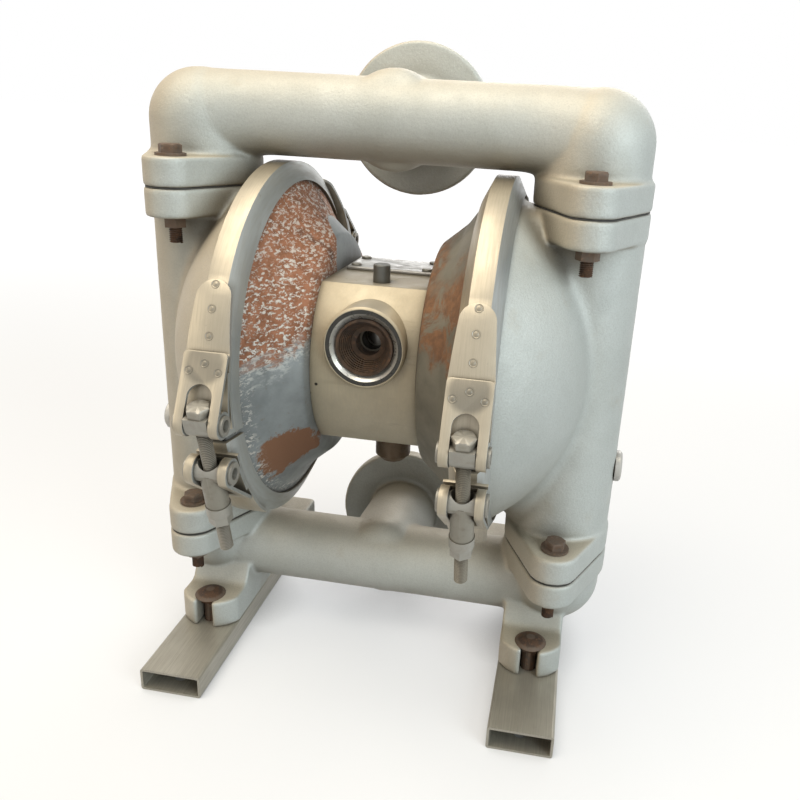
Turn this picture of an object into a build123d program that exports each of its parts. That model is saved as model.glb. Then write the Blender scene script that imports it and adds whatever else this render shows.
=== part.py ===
from build123d import *
import math
import os

# Air operated double diaphragm pump, 40 mm ports.
# Millimetres. X runs along the diaphragm shaft, Y away from the air inlet
# towards the two ports, Z up. The origin is on the floor under the pump's centre.

# Layout
RIM_R = 142.3                # outer radius of the diaphragms; with it the whole pump grows
BLOCK_HALF = 40.4            # half width of the centre block
CHAMBER_DEPTH = 48.6         # from the block's side to the clamp ring's middle plane
COLUMN_OUT = 65.5            # from there to the column's axis
FOOT_TO_PIPE = 50.0          # lower pipe's axis above the foot bars
LOW_PIPE_ROOM = 25.0         # between the lower pipe and the clamp rings
TOP_PIPE_ROOM = 3.5          # between the clamp rings and the upper pipe
LOW_SEAM_UP = 42.5           # lower joint above the lower pipe's axis
TOP_SEAM_DOWN = 54.0         # upper joint below the upper pipe's axis

# Manifolds and columns
PIPE_R = 31.0
PIPE_WALL = 9.0
COLUMN_R = 43.2
COLUMN_WALL = 8.2
ELBOW_R = 41.4
ELBOW_WALL = 7.4
ELBOW_CORNER = 1.4           # how much less than its radius the elbow's corner is rounded
ELBOW_ROOM = 1.5             # hollow of the elbow above the pipe's bore
ELBOW_FLARE = 62.0           # length over which the pipe widens into the elbow
ELBOW_STEP = 0.6             # the elbow's crown stands this much above the pipe's
FLANGE_R = 44.6
FLANGE_T = 21.6
EAR_OUT = 12.4               # flange bolts outside the flange's round part
EAR_R = 20.4
GASKET_T = 0.8
GASKET_INSET = 1.2
FLANGE_EDGE_R = 1.6
PAD_X = (84.0, 118.0)        # pads behind the lower pipe, beside the elbows
PAD_BACK_Y = 56.0
PAD_UP = 18.0
PAD_T = 26.0
PAD_CORNER_R = 6.0

# Ports at the back
PORT_FACE_Y = 100.0
PORT_DISC_R = 63.5
PORT_DISC_T = 15.0
PORT_NECK = 7.0              # neck's radius over the pipe's
PORT_NECK_END = 3.0
PORT_PCD = 98.4
PORT_HOLE_R = 5.4
PORT_HOLE_DEPTH = 11.0
PORT_RIM_R = 43.0            # raised sealing face
PORT_RIM_T = 1.6

# Liquid chambers
DOME_EDGE = 3.87             # dome outside the clamp ring's flanks
DOME_CENTRE = 72.5           # dome's centre inside the clamp ring's middle plane
DOME_WALL = 9.0
DOME_FILLET_R = 12.0
SIDE_PLUG_UP = 75.5          # above the lower joint
SIDE_PLUG_R = 13.0
SIDE_PLUG_STEM_R = 8.5
SIDE_PLUG_STEM = 6.0
SIDE_PLUG_PROUD = 5.0

# Diaphragm
BEAD_HALF = 3.0
HUB_IN = 5.0                 # diaphragm's middle inside the clamp ring's middle plane
HUB_HALF = 3.0
DIAPHRAGM_ROLL = 10.0        # how far the free ring bulges
PLATE_IN = 6.5               # inside the air chamber's floor
PLATE_T = 8.0
PLATE_EDGE_R = 3.5
HALF_STROKE = 15.0

# Clamp rings
RIM_ROOM = 1.2               # between the clamped rims and the ring's crown
CROWN_HALF = 7.5
FLANK_DEPTH = 14.5           # from the crown to the flanks' ends
FLANK_SLOPE = 0.5            # sideways run for each millimetre down
SEAT_IN = 6.5                # the diaphragm is free this far inside the flanks' ends
BAND_T = 2.5
BAND_CLEARANCE = 0.2
RING_ROOM = 0.6
BAND_GAP = 1.0               # degrees, each side of a closure
CLOSURE_ANGLE = -14.0        # degrees above the front, about the shaft
CLOSURE_OUT = 13.5           # the clamp bolt outside the ring's crown
STRAP_T = 2.5
STRAP_HALF = 12.4
STRAP_FOLD_HALF = 15.5
STRAP_CORNER_R = 3.0
STRAP_END = 45.0             # degrees from the closure to a strap's rounded end
STRAP_FOLD = 26.0            # degrees from the closure to the upper strap's fold
LOW_STRAP_FOLD = 23.0
SADDLE_UP = 24.0             # upper trunnion, above the closure's middle
TRUNNION_R = 7.0
SLEEVE_DOWN = 17.0           # lower trunnion, below the closure's middle
SLEEVE_TRUNNION_R = 8.0
LOOP_CLEARANCE = 0.1
TRUNNION_HALF = 17.5
TRUNNION_HOLE_R = 4.4
TRUNNION_HOLE_DEPTH = 7.0
HEAD_SLOT_HALF = 8.9
HEAD_SLOT_REACH = 22.0       # from the strap's fold down to the slot's rounded top
SADDLE_R = 8.6
SADDLE_TOP = 8.0
SADDLE_DEPTH = 5.0
SLEEVE_R = 8.4
SLEEVE_END = 47.0
COLLAR_R = 9.1
COLLAR_T = 8.5
SLEEVE_SLOT_HALF = 9.2
CLAMP_TAIL = 91.0

# Threads, nuts and bolts
M10_R = 5.0
M10_FLATS = 15.0
M10_HEAD_T = 6.4
M10_NUT_T = 8.0
M10_WASHER_R = 11.2
M10_WASHER_T = 2.0
M12_R = 6.0
M12_FLATS = 19.0
M12_NUT_T = 10.0
BOLT_CLEARANCE = 0.5
THREAD_GAP = 0.03
BOLT_TAIL = 12.0             # thread below the flange nuts

# Air chambers and centre block
BLOCK_IN = 48.0              # block's radius inside the ring's flanks
TOP_IN = 19.5                # block's flat top inside its radius
BOTTOM_IN = 22.5
FLOOR_T = 8.0
CHAMBER_MOUTH = [(14.5, 5.5), (27.0, 23.5), (40.0, 34.7), (46.5, 40.0)]
CHAMBER_WALL = 7.0
SCREW_IN = 15.5              # screw circle inside the block's radius
SCREW_R = 4.0
SCREW_HEAD_R = 6.5
SCREW_HEAD_T = 4.4
SCREW_LENGTH = 22.0

# Air inlet, valve and silencer
INLET_X = 2.0
INLET_DOWN = 39.0            # inlet's axis below the block's flat top
INLET_OUT = 5.0              # boss in front of the block
INLET_BOSS_R = 30.8
INLET_RING_R = 28.8
INLET_RING_BORE_R = 21.5
INLET_RING_T = 7.0
INLET_RING_CHAMFER = 4.2
INLET_BUSH_R = 21.2
INLET_BUSH_T = 24.0
INLET_STEP_R = 13.0
INLET_STEP_DEPTH = 13.0
INLET_BORE_R = 9.5
INLET_PASSAGE_R = 8.0
VALVE_Y = -38.0
SLEEVE_BORE_R = 14.0
SPOOL_R = 9.96
SPOOL_SLEEVE_R = 10.0
SPOOL_WAIST_R = 6.0
SPOOL_TRAVEL = 8.0
SPOOL_ROOM = 23.0            # between the spool's top and the sleeve's
PIN_R = 6.5
PIN_PROUD = 13.5
CAP_T = 8.0
COVER_FRONT_Y = -4.0
COVER_BACK_IN = 13.6         # cover's rear edge in front of the flat top's
COVER_HALF = 36.0
COVER_T = 3.0
COVER_SCREW_R = 2.5
COVER_SCREW_HEAD_R = 4.2
COVER_SCREW_HEAD_T = 1.8
COVER_SCREW_INSET = 6.5
SILENCER_Y = 27.0
SILENCER_R = 15.8
SILENCER_BORE_R = 8.0
SILENCER_FLATS = 27.0
SILENCER_HEX_T = 8.0
SILENCER_LENGTH = 53.0
SILENCER_TIP_R = 10.5
PILOT_Y = 30.0
PILOT_UP = -30.0
PILOT_R = 4.0
PILOT_REACH = 5.4            # past each air chamber's floor
PILOT_TRAVEL = 3.0

# Shaft
SHAFT_R = 11.0
SHAFT_GAP = 0.04
STUD_R = 7.0
BUSH_R = 15.0
BUSH_LENGTH = 14.0
SEAL_R = 14.5
SEAL_T = 5.0
SHAFT_NUT_FLATS = 24.0
SHAFT_NUT_T = 10.0

# Check valves
BALL_R = 24.0
BALL_LIFT = 10.0
SEAT_WIDE = 3.0              # seat's radius over the column's bore
SEAT_BORE_R = 19.0
SEAT_T = 10.0
SEAT_GAP = 0.1
CAGE_GAP = 0.9
CAGE_RIB_T = 5.0
CAGE_BRIDGE_T = 8.0

# Feet
LUG_IN = 11.5                # lugs and foot bars inside the column's axis
LUG_HALF = 25.8
LUG_NOSE_R = 29.4
LUG_NOSE_Y = 46.0
LUG_T = 25.0
LUG_FLAT_Y = 42.0            # the lug's top slopes up inside this
LUG_RISE = 20.0
LUG_RISE_RUN = 12.0
LUG_FILLET_R = 8.0
LUG_SLOT_HALF = 7.0
LUG_SLOT_SPARE = 3.2         # slot left free inside the bolt
FOOT_BOLT_Y = 60.0
FOOT_HEAD_R = 13.2
FOOT_HEAD_T = 7.0
FOOT_TAIL = 2.0
BAR_W = 51.6
BAR_H = 20.0
BAR_T = 2.0
BAR_HALF_LENGTH = 136.6
BAR_CORNER_R = 2.4
FLOOR_HOLE_R = 5.5
FLOOR_HOLE_Y = 118.0

# What follows from the sizes above, along X
RING_X = BLOCK_HALF + CHAMBER_DEPTH
COLUMN_X = RING_X + COLUMN_OUT
LUG_X = COLUMN_X - LUG_IN
FLOOR_X = BLOCK_HALF + FLOOR_T
RIM_FACE_X = RING_X + BEAD_HALF
DOME_CENTRE_X = RING_X - DOME_CENTRE
HUB_X = RING_X - HUB_IN
SHAFT_SHOULDER_X = HUB_X - HUB_HALF - PLATE_T
OUTER_PLATE_X = HUB_X + HUB_HALF + PLATE_T

# about the shaft
CROWN_R = RIM_R + RIM_ROOM + BAND_T
FLANK_R = CROWN_R - FLANK_DEPTH
RIM_SEAT_R = FLANK_R - SEAT_IN
CLOSURE_R = CROWN_R + CLOSURE_OUT
DOME_R = math.hypot(RIM_FACE_X - DOME_CENTRE_X, FLANK_R + DOME_EDGE)
BLOCK_R = FLANK_R - BLOCK_IN
PLATE_R = BLOCK_R - CHAMBER_WALL - PLATE_IN
SCREW_PCD_R = BLOCK_R - SCREW_IN
BLOCK_TOP = BLOCK_R - TOP_IN
BLOCK_BOTTOM = BLOCK_R - BOTTOM_IN
COVER_BACK_Y = math.sqrt(BLOCK_R**2 - BLOCK_TOP**2) - COVER_BACK_IN
INLET_UP = BLOCK_TOP - INLET_DOWN
INLET_FACE_Y = -BLOCK_R - INLET_OUT
SPOOL_LENGTH = BLOCK_TOP + BLOCK_BOTTOM - 2 * CAP_T - SPOOL_ROOM
FLANK_TILT = math.atan(FLANK_SLOPE)

# upwards from the floor
LUG_TOP = BAR_H + LUG_T
SUCTION_Z = BAR_H + FOOT_TO_PIPE
LOW_SEAM_Z = SUCTION_Z + LOW_SEAM_UP
SHAFT_Z = SUCTION_Z + PIPE_R + LOW_PIPE_ROOM + CROWN_R
DISCHARGE_Z = SHAFT_Z + CROWN_R + TOP_PIPE_ROOM + PIPE_R
TOP_SEAM_Z = DISCHARGE_Z - TOP_SEAM_DOWN
SIDE_PLUG_Z = LOW_SEAM_Z + SIDE_PLUG_UP

# and across the castings
PIPE_BORE_R = PIPE_R - PIPE_WALL
PORT_BORE_R = PIPE_BORE_R - 2.0
PORT_NECK_R = PIPE_R + PORT_NECK
PORT_NECK_END_R = PIPE_R + PORT_NECK_END
COLUMN_BORE_R = COLUMN_R - COLUMN_WALL
ELBOW_BORE_R = ELBOW_R - ELBOW_WALL
ELBOW_CORNER_R = ELBOW_R - ELBOW_CORNER
EAR_Y = FLANGE_R + EAR_OUT
SEAT_R = COLUMN_BORE_R + SEAT_WIDE
SEAT_RISE = math.sqrt(BALL_R**2 - (SEAT_BORE_R + 0.6)**2)
GASKET_HALF = GASKET_T / 2

ABOUT_SHAFT = Pos(0, 0, SHAFT_Z)
MIRROR = Plane.YZ


def post(radius, z_low, z_high, x=0.0, y=0.0):
    "An upright round bar."
    return Pos(x, y, (z_low + z_high) / 2) * Cylinder(radius, z_high - z_low)


def bar_x(radius, x_low, x_high, y=0.0, z=0.0):
    "A round bar along X."
    return Pos((x_low + x_high) / 2, y, z) * Rot(0, 90, 0) * Cylinder(radius, x_high - x_low)


def bar_y(radius, y_low, y_high, x=0.0, z=0.0):
    "A round bar along Y."
    return Pos(x, (y_low + y_high) / 2, z) * Rot(90, 0, 0) * Cylinder(radius, y_high - y_low)


def block(x, y, z):
    "A box from three (low, high) pairs."
    size = [pair[1] - pair[0] for pair in (x, y, z)]
    middle = [(pair[1] + pair[0]) / 2 for pair in (x, y, z)]
    return Pos(*middle) * Box(*size)


def upright_hex(flats, z_low, z_high, x=0.0, y=0.0):
    "An upright hexagonal bar, measured across its flats."
    outline = RegularPolygon(flats / 2, 6, major_radius=False)
    return Pos(x, y, z_low) * extrude(outline, z_high - z_low)


def turned(points, start=0.0):
    "A solid turned about X from (x, radius) points; its seam lies at the start angle."
    face = make_face(Polyline(*points, close=True))
    return Rot(start, 0, 0) * revolve(Plane.XZ * face, Axis.X, 360)


def both_sides(shape):
    "A shape and its mirror image across the centre plane."
    return [shape, mirror(shape, MIRROR)]


def group(shapes):
    "Separate solids kept as one node."
    solids = []
    for shape in shapes:
        solids.extend(shape.solids())
    return Compound(children=solids)


def save(node, shape):
    "One STEP file per node."
    shape.label = node
    export_step(shape, f"parts/{node}.step")


# Castings: flanges, elbows and ports

def oval(radius, ear_radius):
    "Outline of a two-bolt flange."
    edges = Circle(radius).edges()
    for side in (-1, 1):
        edges += (Pos(0, side * EAR_Y) * Circle(ear_radius)).edges()
    return make_hull(edges)


def flange(z_low, z_high):
    "A two-bolt flange at the right column, its outer edges rounded."
    plate = Pos(COLUMN_X, 0, z_low) * extrude(oval(FLANGE_R, EAR_R), z_high - z_low)
    return fillet(plate.edges().filter_by(GeomType.LINE, reverse=True).filter_by(
        lambda edge: abs(edge.center().Z - z_low) < 0.01 or abs(edge.center().Z - z_high) < 0.01)
        + plate.edges().filter_by(lambda edge: edge.geom_type == GeomType.LINE
                                  and abs(edge.bounding_box().size.Z) < 0.01), FLANGE_EDGE_R)


def flange_holes(z_low, z_high):
    "The two bolt holes of a flange at the right column."
    hole_r = M10_R + BOLT_CLEARANCE
    holes = [post(hole_r, z_low - 1, z_high + 1, COLUMN_X, side * EAR_Y) for side in (-1, 1)]
    return holes[0] + holes[1]


def ring_of_pipe(x, radius, crown_z):
    "A round section across X whose highest point lies at crown_z."
    return Plane(origin=(x, 0, crown_z - radius), x_dir=(0, 1, 0), z_dir=(1, 0, 0)) * Circle(radius)


def elbow(seam_z, pipe_z, up):
    "The right elbow, from the seam to the pipe; up is 1 on the upper manifold and -1 on the lower."
    crown = abs(pipe_z - seam_z) + PIPE_R
    stub = Rot(0, 0, 45) * post(ELBOW_R, 0, crown + ELBOW_STEP)
    stub = fillet(stub.edges().sort_by(Axis.Z)[-1], ELBOW_CORNER_R)
    knee_r = min(ELBOW_CORNER_R, crown / 2 - 0.5)
    sections = [
        ring_of_pipe(-ELBOW_FLARE, PIPE_R, crown),
        ring_of_pipe(-0.58 * ELBOW_FLARE, PIPE_R + 0.2 * (knee_r - PIPE_R), crown),
        ring_of_pipe(-0.1 * ELBOW_FLARE, knee_r, crown),
    ]
    whole = stub + loft(sections)
    if up < 0:
        whole = mirror(whole, Plane.XY)
    return Pos(COLUMN_X, 0, seam_z) * whole


def elbow_bore(seam_z, pipe_z, up):
    "The hollow inside the right elbow, with its rounded end."
    reach = abs(pipe_z - seam_z) + PIPE_BORE_R + ELBOW_ROOM
    hollow = Rot(0, 0, 45) * post(ELBOW_BORE_R, -1, reach)
    hollow = fillet(hollow.edges().sort_by(Axis.Z)[-1], ELBOW_BORE_R - 6)
    if up < 0:
        hollow = mirror(hollow, Plane.XY)
    return Pos(COLUMN_X, 0, seam_z) * hollow


def port(pipe_z):
    "The neck and round flange behind the pipe."
    front = PORT_FACE_Y - PORT_DISC_T
    neck = Pos(0, front / 2, pipe_z) * Rot(-90, 0, 0) * Cone(PORT_NECK_R, PORT_NECK_END_R, front)
    disc = bar_y(PORT_DISC_R, front, PORT_FACE_Y - PORT_RIM_T, 0, pipe_z)
    disc = chamfer(disc.edges().filter_by(GeomType.CIRCLE), 1.0)
    return neck + disc + bar_y(PORT_RIM_R, front, PORT_FACE_Y, 0, pipe_z)


def port_bore(pipe_z):
    "The port's bore and its four blind flange holes."
    cut = bar_y(PORT_BORE_R, 0, PORT_FACE_Y + 1, 0, pipe_z)
    for quarter in range(4):
        angle = math.radians(45 + 90 * quarter)
        x = PORT_PCD / 2 * math.cos(angle)
        z = pipe_z + PORT_PCD / 2 * math.sin(angle)
        cut += bar_y(PORT_HOLE_R, PORT_FACE_Y - PORT_RIM_T - PORT_HOLE_DEPTH, PORT_FACE_Y + 1, x, z)
    return cut


def ball_cage(seat_top, wall_r):
    "Guide ribs and a stop over a check ball, at the right column."
    rest = seat_top + SEAT_RISE
    stop = rest + BALL_LIFT + BALL_R + CAGE_GAP
    top = stop + CAGE_BRIDGE_T
    foot = seat_top + 3
    ribs = block((-wall_r - 1, wall_r + 1), (-CAGE_RIB_T / 2, CAGE_RIB_T / 2), (foot, top))
    ribs += block((-CAGE_RIB_T / 2, CAGE_RIB_T / 2), (-wall_r - 1, wall_r + 1), (foot, top))
    path = BALL_R + CAGE_GAP
    high = rest + BALL_LIFT
    outline = make_face([
        Line((0, foot - 1), (path, foot - 1)),
        Line((path, foot - 1), (path, high)),
        CenterArc((0, high), path, 0, 90),
        Line((0, high + path), (0, foot - 1)),
    ])
    run = Rot(0, 0, 45) * revolve(Plane.XZ * outline, Axis.Z, 360)
    return Pos(COLUMN_X, 0, 0) * (ribs - run)


def manifold(seam_z, pipe_z, up):
    "A whole manifold: two elbows with flanges, the pipe between them and the rear port."
    near = seam_z + up * GASKET_HALF
    far = near + up * FLANGE_T
    low, high = min(near, far), max(near, far)
    side = elbow(near, pipe_z, up) + flange(low, high)
    half = side + mirror(side, MIRROR)
    reach = COLUMN_X - ELBOW_FLARE
    body = bar_x(PIPE_R, -reach, reach, 0, pipe_z) + port(pipe_z) + half
    return body, low, high, near


def hollow_out(body, low, high, near, pipe_z, up):
    "The bores and bolt holes of a manifold."
    side = elbow_bore(near, pipe_z, up) + flange_holes(low, high)
    body -= bar_x(PIPE_BORE_R, -COLUMN_X, COLUMN_X, 0, pipe_z)
    body -= port_bore(pipe_z)
    for cut in both_sides(side):
        body -= cut
    return body


def discharge_manifold():
    "The upper manifold, with the cages of the two discharge balls in its elbows."
    body, low, high, near = manifold(TOP_SEAM_Z, DISCHARGE_Z, 1)
    body = hollow_out(body, low, high, near, DISCHARGE_Z, 1)
    outer = elbow(near, DISCHARGE_Z, 1)
    cage = ball_cage(near, ELBOW_BORE_R) & outer
    for each in both_sides(cage):
        body += each
    return body


def lug():
    "One end's mounting lug, front to back, at the right: a nose each way on a sloping rise."
    plan = Rectangle(2 * LUG_HALF, 2 * LUG_NOSE_Y)
    for side in (-1, 1):
        nose = Pos(0, side * LUG_NOSE_Y) * Circle(LUG_NOSE_R)
        plan += nose & Rectangle(2 * LUG_HALF, 4 * LUG_NOSE_Y)
    tall = extrude(plan, LUG_TOP - BAR_H + LUG_RISE)
    reach = LUG_NOSE_Y + LUG_NOSE_R + 1
    slope = LUG_FLAT_Y - LUG_RISE_RUN
    rise = LUG_TOP - BAR_H
    outline = Polyline(
        (-reach, 0), (reach, 0), (reach, rise), (LUG_FLAT_Y, rise), (slope, rise + LUG_RISE),
        (-slope, rise + LUG_RISE), (-LUG_FLAT_Y, rise), (-reach, rise), close=True)
    side_face = make_face(outline)
    bends = [v for v in side_face.vertices() if abs(abs(v.X) - LUG_FLAT_Y) < 0.01]
    side_face = fillet(bends, LUG_FILLET_R)
    profile = extrude(Plane.YZ * side_face, LUG_HALF + 1, both=True)
    return Pos(LUG_X, 0, BAR_H) * (tall & profile)


def rear_pad():
    "The raised pad behind the lower pipe, beside the right elbow."
    plan = Rectangle(PAD_X[1] - PAD_X[0], PAD_BACK_Y)
    near = plan.vertices().sort_by(Axis.Y)[-2:].sort_by(Axis.X)[0]
    plan = fillet(near, PAD_CORNER_R)
    pad = extrude(plan, PAD_T)
    pad = fillet(pad.faces().sort_by(Axis.Z)[-1].edges().sort_by(Axis.Y)[1:], 2.0)
    top = SUCTION_Z + PAD_UP
    return Pos((PAD_X[0] + PAD_X[1]) / 2, PAD_BACK_Y / 2, top - PAD_T) * pad


def lug_slots():
    "The open slots of one end's lugs."
    cut = None
    for side in (-1, 1):
        far = side * (FOOT_BOLT_Y + LUG_NOSE_R)
        near = side * (FOOT_BOLT_Y - LUG_SLOT_SPARE)
        slot = block((-LUG_SLOT_HALF, LUG_SLOT_HALF), (min(near, far), max(near, far)),
                     (BAR_H - 1, LUG_TOP + 1))
        slot += post(LUG_SLOT_HALF, BAR_H - 1, LUG_TOP + 1, 0, near)
        cut = slot if cut is None else cut + slot
    return Pos(LUG_X, 0, 0) * cut


def suction_manifold():
    "The lower manifold, with the mounting lugs and the seats' recesses."
    body, low, high, near = manifold(LOW_SEAM_Z, SUCTION_Z, -1)
    for each in both_sides(lug()) + both_sides(rear_pad()):
        body += each
    body = hollow_out(body, low, high, near, SUCTION_Z, -1)
    recess = post(SEAT_R, near - SEAT_T, near + 1, COLUMN_X)
    for cut in both_sides(recess + lug_slots()):
        body -= cut
    return body


# Liquid chambers

def band_half_width(radius):
    "Half the ring's outer width at a radius from the shaft."
    return CROWN_HALF + (CROWN_R - radius) * FLANK_SLOPE


def rim_half_width(radius):
    "Half the width that the ring leaves free inside it."
    return band_half_width(radius) - (BAND_T + BAND_CLEARANCE) / math.cos(FLANK_TILT)


def dome(radius):
    "A spherical cap from the rim face outwards, its seam turned to the side."
    middle_x = (RIM_FACE_X + DOME_CENTRE_X + radius) / 2
    edge_r = math.sqrt(radius**2 - (RIM_FACE_X - DOME_CENTRE_X)**2)
    middle_r = math.sqrt(radius**2 - (middle_x - DOME_CENTRE_X)**2)
    tip = (DOME_CENTRE_X + radius, 0)
    rim = (RIM_FACE_X, edge_r)
    face = make_face([
        Line((RIM_FACE_X, 0), rim),
        ThreePointArc(rim, (middle_x, middle_r), tip),
        Line(tip, (RIM_FACE_X, 0)),
    ])
    return ABOUT_SHAFT * Rot(75, 0, 0) * revolve(Plane.XZ * face, Axis.X, 360)


def ring_room():
    "Room for the clamp ring, cut from the blend between dome and column."
    wide = RING_X + band_half_width(FLANK_R) + RING_ROOM
    return ABOUT_SHAFT * turned([
        (RIM_FACE_X, FLANK_R - RING_ROOM),
        (wide, FLANK_R - RING_ROOM),
        (RING_X + CROWN_HALF + 2 * RING_ROOM, CROWN_R + 2 * RING_ROOM),
        (RIM_FACE_X, CROWN_R + 2 * RING_ROOM),
    ], 75)


def liquid_chamber():
    "The right liquid chamber: dome, column, flanges, clamped rim and the lower ball's cage."
    low = LOW_SEAM_Z + GASKET_HALF
    high = TOP_SEAM_Z - GASKET_HALF
    body = dome(DOME_R) + post(COLUMN_R, low, high, COLUMN_X)
    junction = [edge for edge in body.edges() if edge.geom_type not in (GeomType.CIRCLE, GeomType.LINE)]
    body = fillet(junction, DOME_FILLET_R)
    body -= ring_room()
    body -= post(COLUMN_R + 5, high, high + FLANGE_T, COLUMN_X)
    root_r = FLANK_R - 1.6
    rim = turned([
        (RIM_FACE_X, 0),
        (RIM_FACE_X, RIM_R),
        (RING_X + rim_half_width(RIM_R), RIM_R),
        (RING_X + rim_half_width(root_r), root_r),
        (RING_X + rim_half_width(root_r), 0),
    ], 75)
    body += ABOUT_SHAFT * rim
    body += flange(low, low + FLANGE_T) + flange(high - FLANGE_T, high)
    body -= dome(DOME_R - DOME_WALL)
    body -= post(COLUMN_BORE_R, low - 1, high - SEAT_T + 0.5, COLUMN_X)
    body -= post(SEAT_R, high - SEAT_T, high + 1, COLUMN_X)
    body -= flange_holes(low, low + FLANGE_T)
    body -= flange_holes(high - FLANGE_T, high)
    body -= side_plug_hole()
    return body + ball_cage(low, COLUMN_BORE_R)


def side_plug_hole():
    "The threaded hole in the right column's outer side."
    outside = COLUMN_X + COLUMN_R
    return bar_x(SIDE_PLUG_STEM_R + THREAD_GAP, COLUMN_X, outside + 1, 0, SIDE_PLUG_Z)


def side_plug():
    "A round plug in the right column's outer side."
    outside = COLUMN_X + COLUMN_R
    cap = bar_x(SIDE_PLUG_R, outside - 0.5, outside + SIDE_PLUG_PROUD, 0, SIDE_PLUG_Z)
    cap = chamfer(cap.edges().sort_by(Axis.X)[-1], 1.5)
    cap -= post(COLUMN_R, SIDE_PLUG_Z - 20, SIDE_PLUG_Z + 20, COLUMN_X)
    stem = bar_x(SIDE_PLUG_STEM_R, outside - SIDE_PLUG_STEM, outside + 1, 0, SIDE_PLUG_Z)
    key = Plane.YZ * RegularPolygon(5.0, 6, major_radius=False)
    socket = Pos(outside + SIDE_PLUG_PROUD - 4, 0, SIDE_PLUG_Z) * extrude(key, 5)
    return cap + stem - socket


# Air side: chambers, block, valve

def air_chamber():
    "The right air chamber: a cast cone open towards the diaphragm."
    air_face = RING_X - BEAD_HALF
    root_r = FLANK_R - 1.6
    outside = [
        (air_face, RIM_R),
        (RING_X - rim_half_width(RIM_R), RIM_R),
        (RING_X - rim_half_width(root_r), root_r),
    ]
    outside += [(RING_X - depth, FLANK_R - drop) for depth, drop in CHAMBER_MOUTH]
    outside += [(BLOCK_HALF + 0.8, BLOCK_R + 3.5), (BLOCK_HALF, BLOCK_R)]
    inside = [(FLOOR_X, 0), (FLOOR_X, BLOCK_R - CHAMBER_WALL)]
    inside += [(RING_X - depth + 1, FLANK_R - drop - CHAMBER_WALL)
               for depth, drop in reversed(CHAMBER_MOUTH[1:3])]
    inside += [(air_face, RIM_SEAT_R)]
    shell = turned(outside + [(BLOCK_HALF, 0)] + inside, 75)
    shell -= bar_x(SHAFT_R + 0.5, BLOCK_HALF - 1, FLOOR_X + 1)
    shell -= bar_x(PILOT_R + 0.1, BLOCK_HALF - 1, FLOOR_X + 1, PILOT_Y, PILOT_UP)
    for hole in screw_places():
        shell -= hole * bar_x(SCREW_R + 0.3, BLOCK_HALF - 1, FLOOR_X + 1)
    return ABOUT_SHAFT * shell


def screw_places():
    "Where the four screws hold an air chamber to the block, about the shaft."
    return [Rot(38 + 90 * turn, 0, 0) * Pos(0, SCREW_PCD_R, 0) for turn in range(4)]


def chamber_screws():
    "The right air chamber's four low-headed screws."
    head = bar_x(SCREW_HEAD_R, FLOOR_X, FLOOR_X + SCREW_HEAD_T)
    key = Plane.YZ * RegularPolygon(3.0, 6, major_radius=False)
    head -= Pos(FLOOR_X + SCREW_HEAD_T - 2.5, 0, 0) * extrude(key, 3)
    screw = head + bar_x(SCREW_R, FLOOR_X - SCREW_LENGTH, FLOOR_X + 0.5)
    return [ABOUT_SHAFT * place * screw for place in screw_places()]


def centre_block():
    "The machined block between the air chambers."
    round_body = bar_x(BLOCK_R, -BLOCK_HALF, BLOCK_HALF)
    flats = block((-BLOCK_HALF, BLOCK_HALF), (-BLOCK_R - 1, BLOCK_R + 1), (-BLOCK_BOTTOM, BLOCK_TOP))
    boss = bar_y(INLET_BOSS_R, INLET_FACE_Y, VALVE_Y, INLET_X, INLET_UP)
    boss = chamfer(boss.edges().sort_by(Axis.Y)[0], 1.4)
    body = (round_body & flats) + boss
    ring_back = INLET_FACE_Y + INLET_RING_T
    bush_back = INLET_FACE_Y + 1.5 + INLET_BUSH_T
    body -= bar_y(INLET_RING_R, INLET_FACE_Y - 1, ring_back, INLET_X, INLET_UP)
    body -= bar_y(INLET_BUSH_R + THREAD_GAP, INLET_FACE_Y, bush_back, INLET_X, INLET_UP)
    body -= bar_y(INLET_PASSAGE_R, INLET_FACE_Y, VALVE_Y, INLET_X, INLET_UP)
    body -= post(SLEEVE_BORE_R, -BLOCK_BOTTOM + CAP_T, BLOCK_TOP - CAP_T, INLET_X, VALVE_Y)
    body -= post(PIN_R + 0.25, BLOCK_TOP - CAP_T - 1, BLOCK_TOP + 1, INLET_X, VALVE_Y)
    body -= post(SILENCER_BORE_R, -BLOCK_BOTTOM - 1, -SHAFT_R - 14, 0, SILENCER_Y)
    body -= bar_x(SHAFT_R + 0.5, -BLOCK_HALF - 1, BLOCK_HALF + 1)
    body -= bar_x(PILOT_R + SHAFT_GAP, -BLOCK_HALF - 1, BLOCK_HALF + 1, PILOT_Y, PILOT_UP)
    for cut in both_sides(bar_x(BUSH_R, BLOCK_HALF - BUSH_LENGTH - SEAL_T, BLOCK_HALF + 1)):
        body -= cut
    for place in screw_places():
        hole = place * bar_x(SCREW_R + THREAD_GAP, FLOOR_X - SCREW_LENGTH - 1, BLOCK_HALF + 1)
        for cut in both_sides(hole):
            body -= cut
    for x, y in cover_screw_places():
        body -= post(COVER_SCREW_R + THREAD_GAP, BLOCK_TOP - 9, BLOCK_TOP + 1, x, y)
    return ABOUT_SHAFT * body


def cover_screw_places():
    "The cover plate's four screws."
    reach = COVER_HALF - COVER_SCREW_INSET
    rows = (COVER_FRONT_Y + COVER_SCREW_INSET, COVER_BACK_Y - COVER_SCREW_INSET)
    return [(side * reach, y) for y in rows for side in (-1, 1)]


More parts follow.
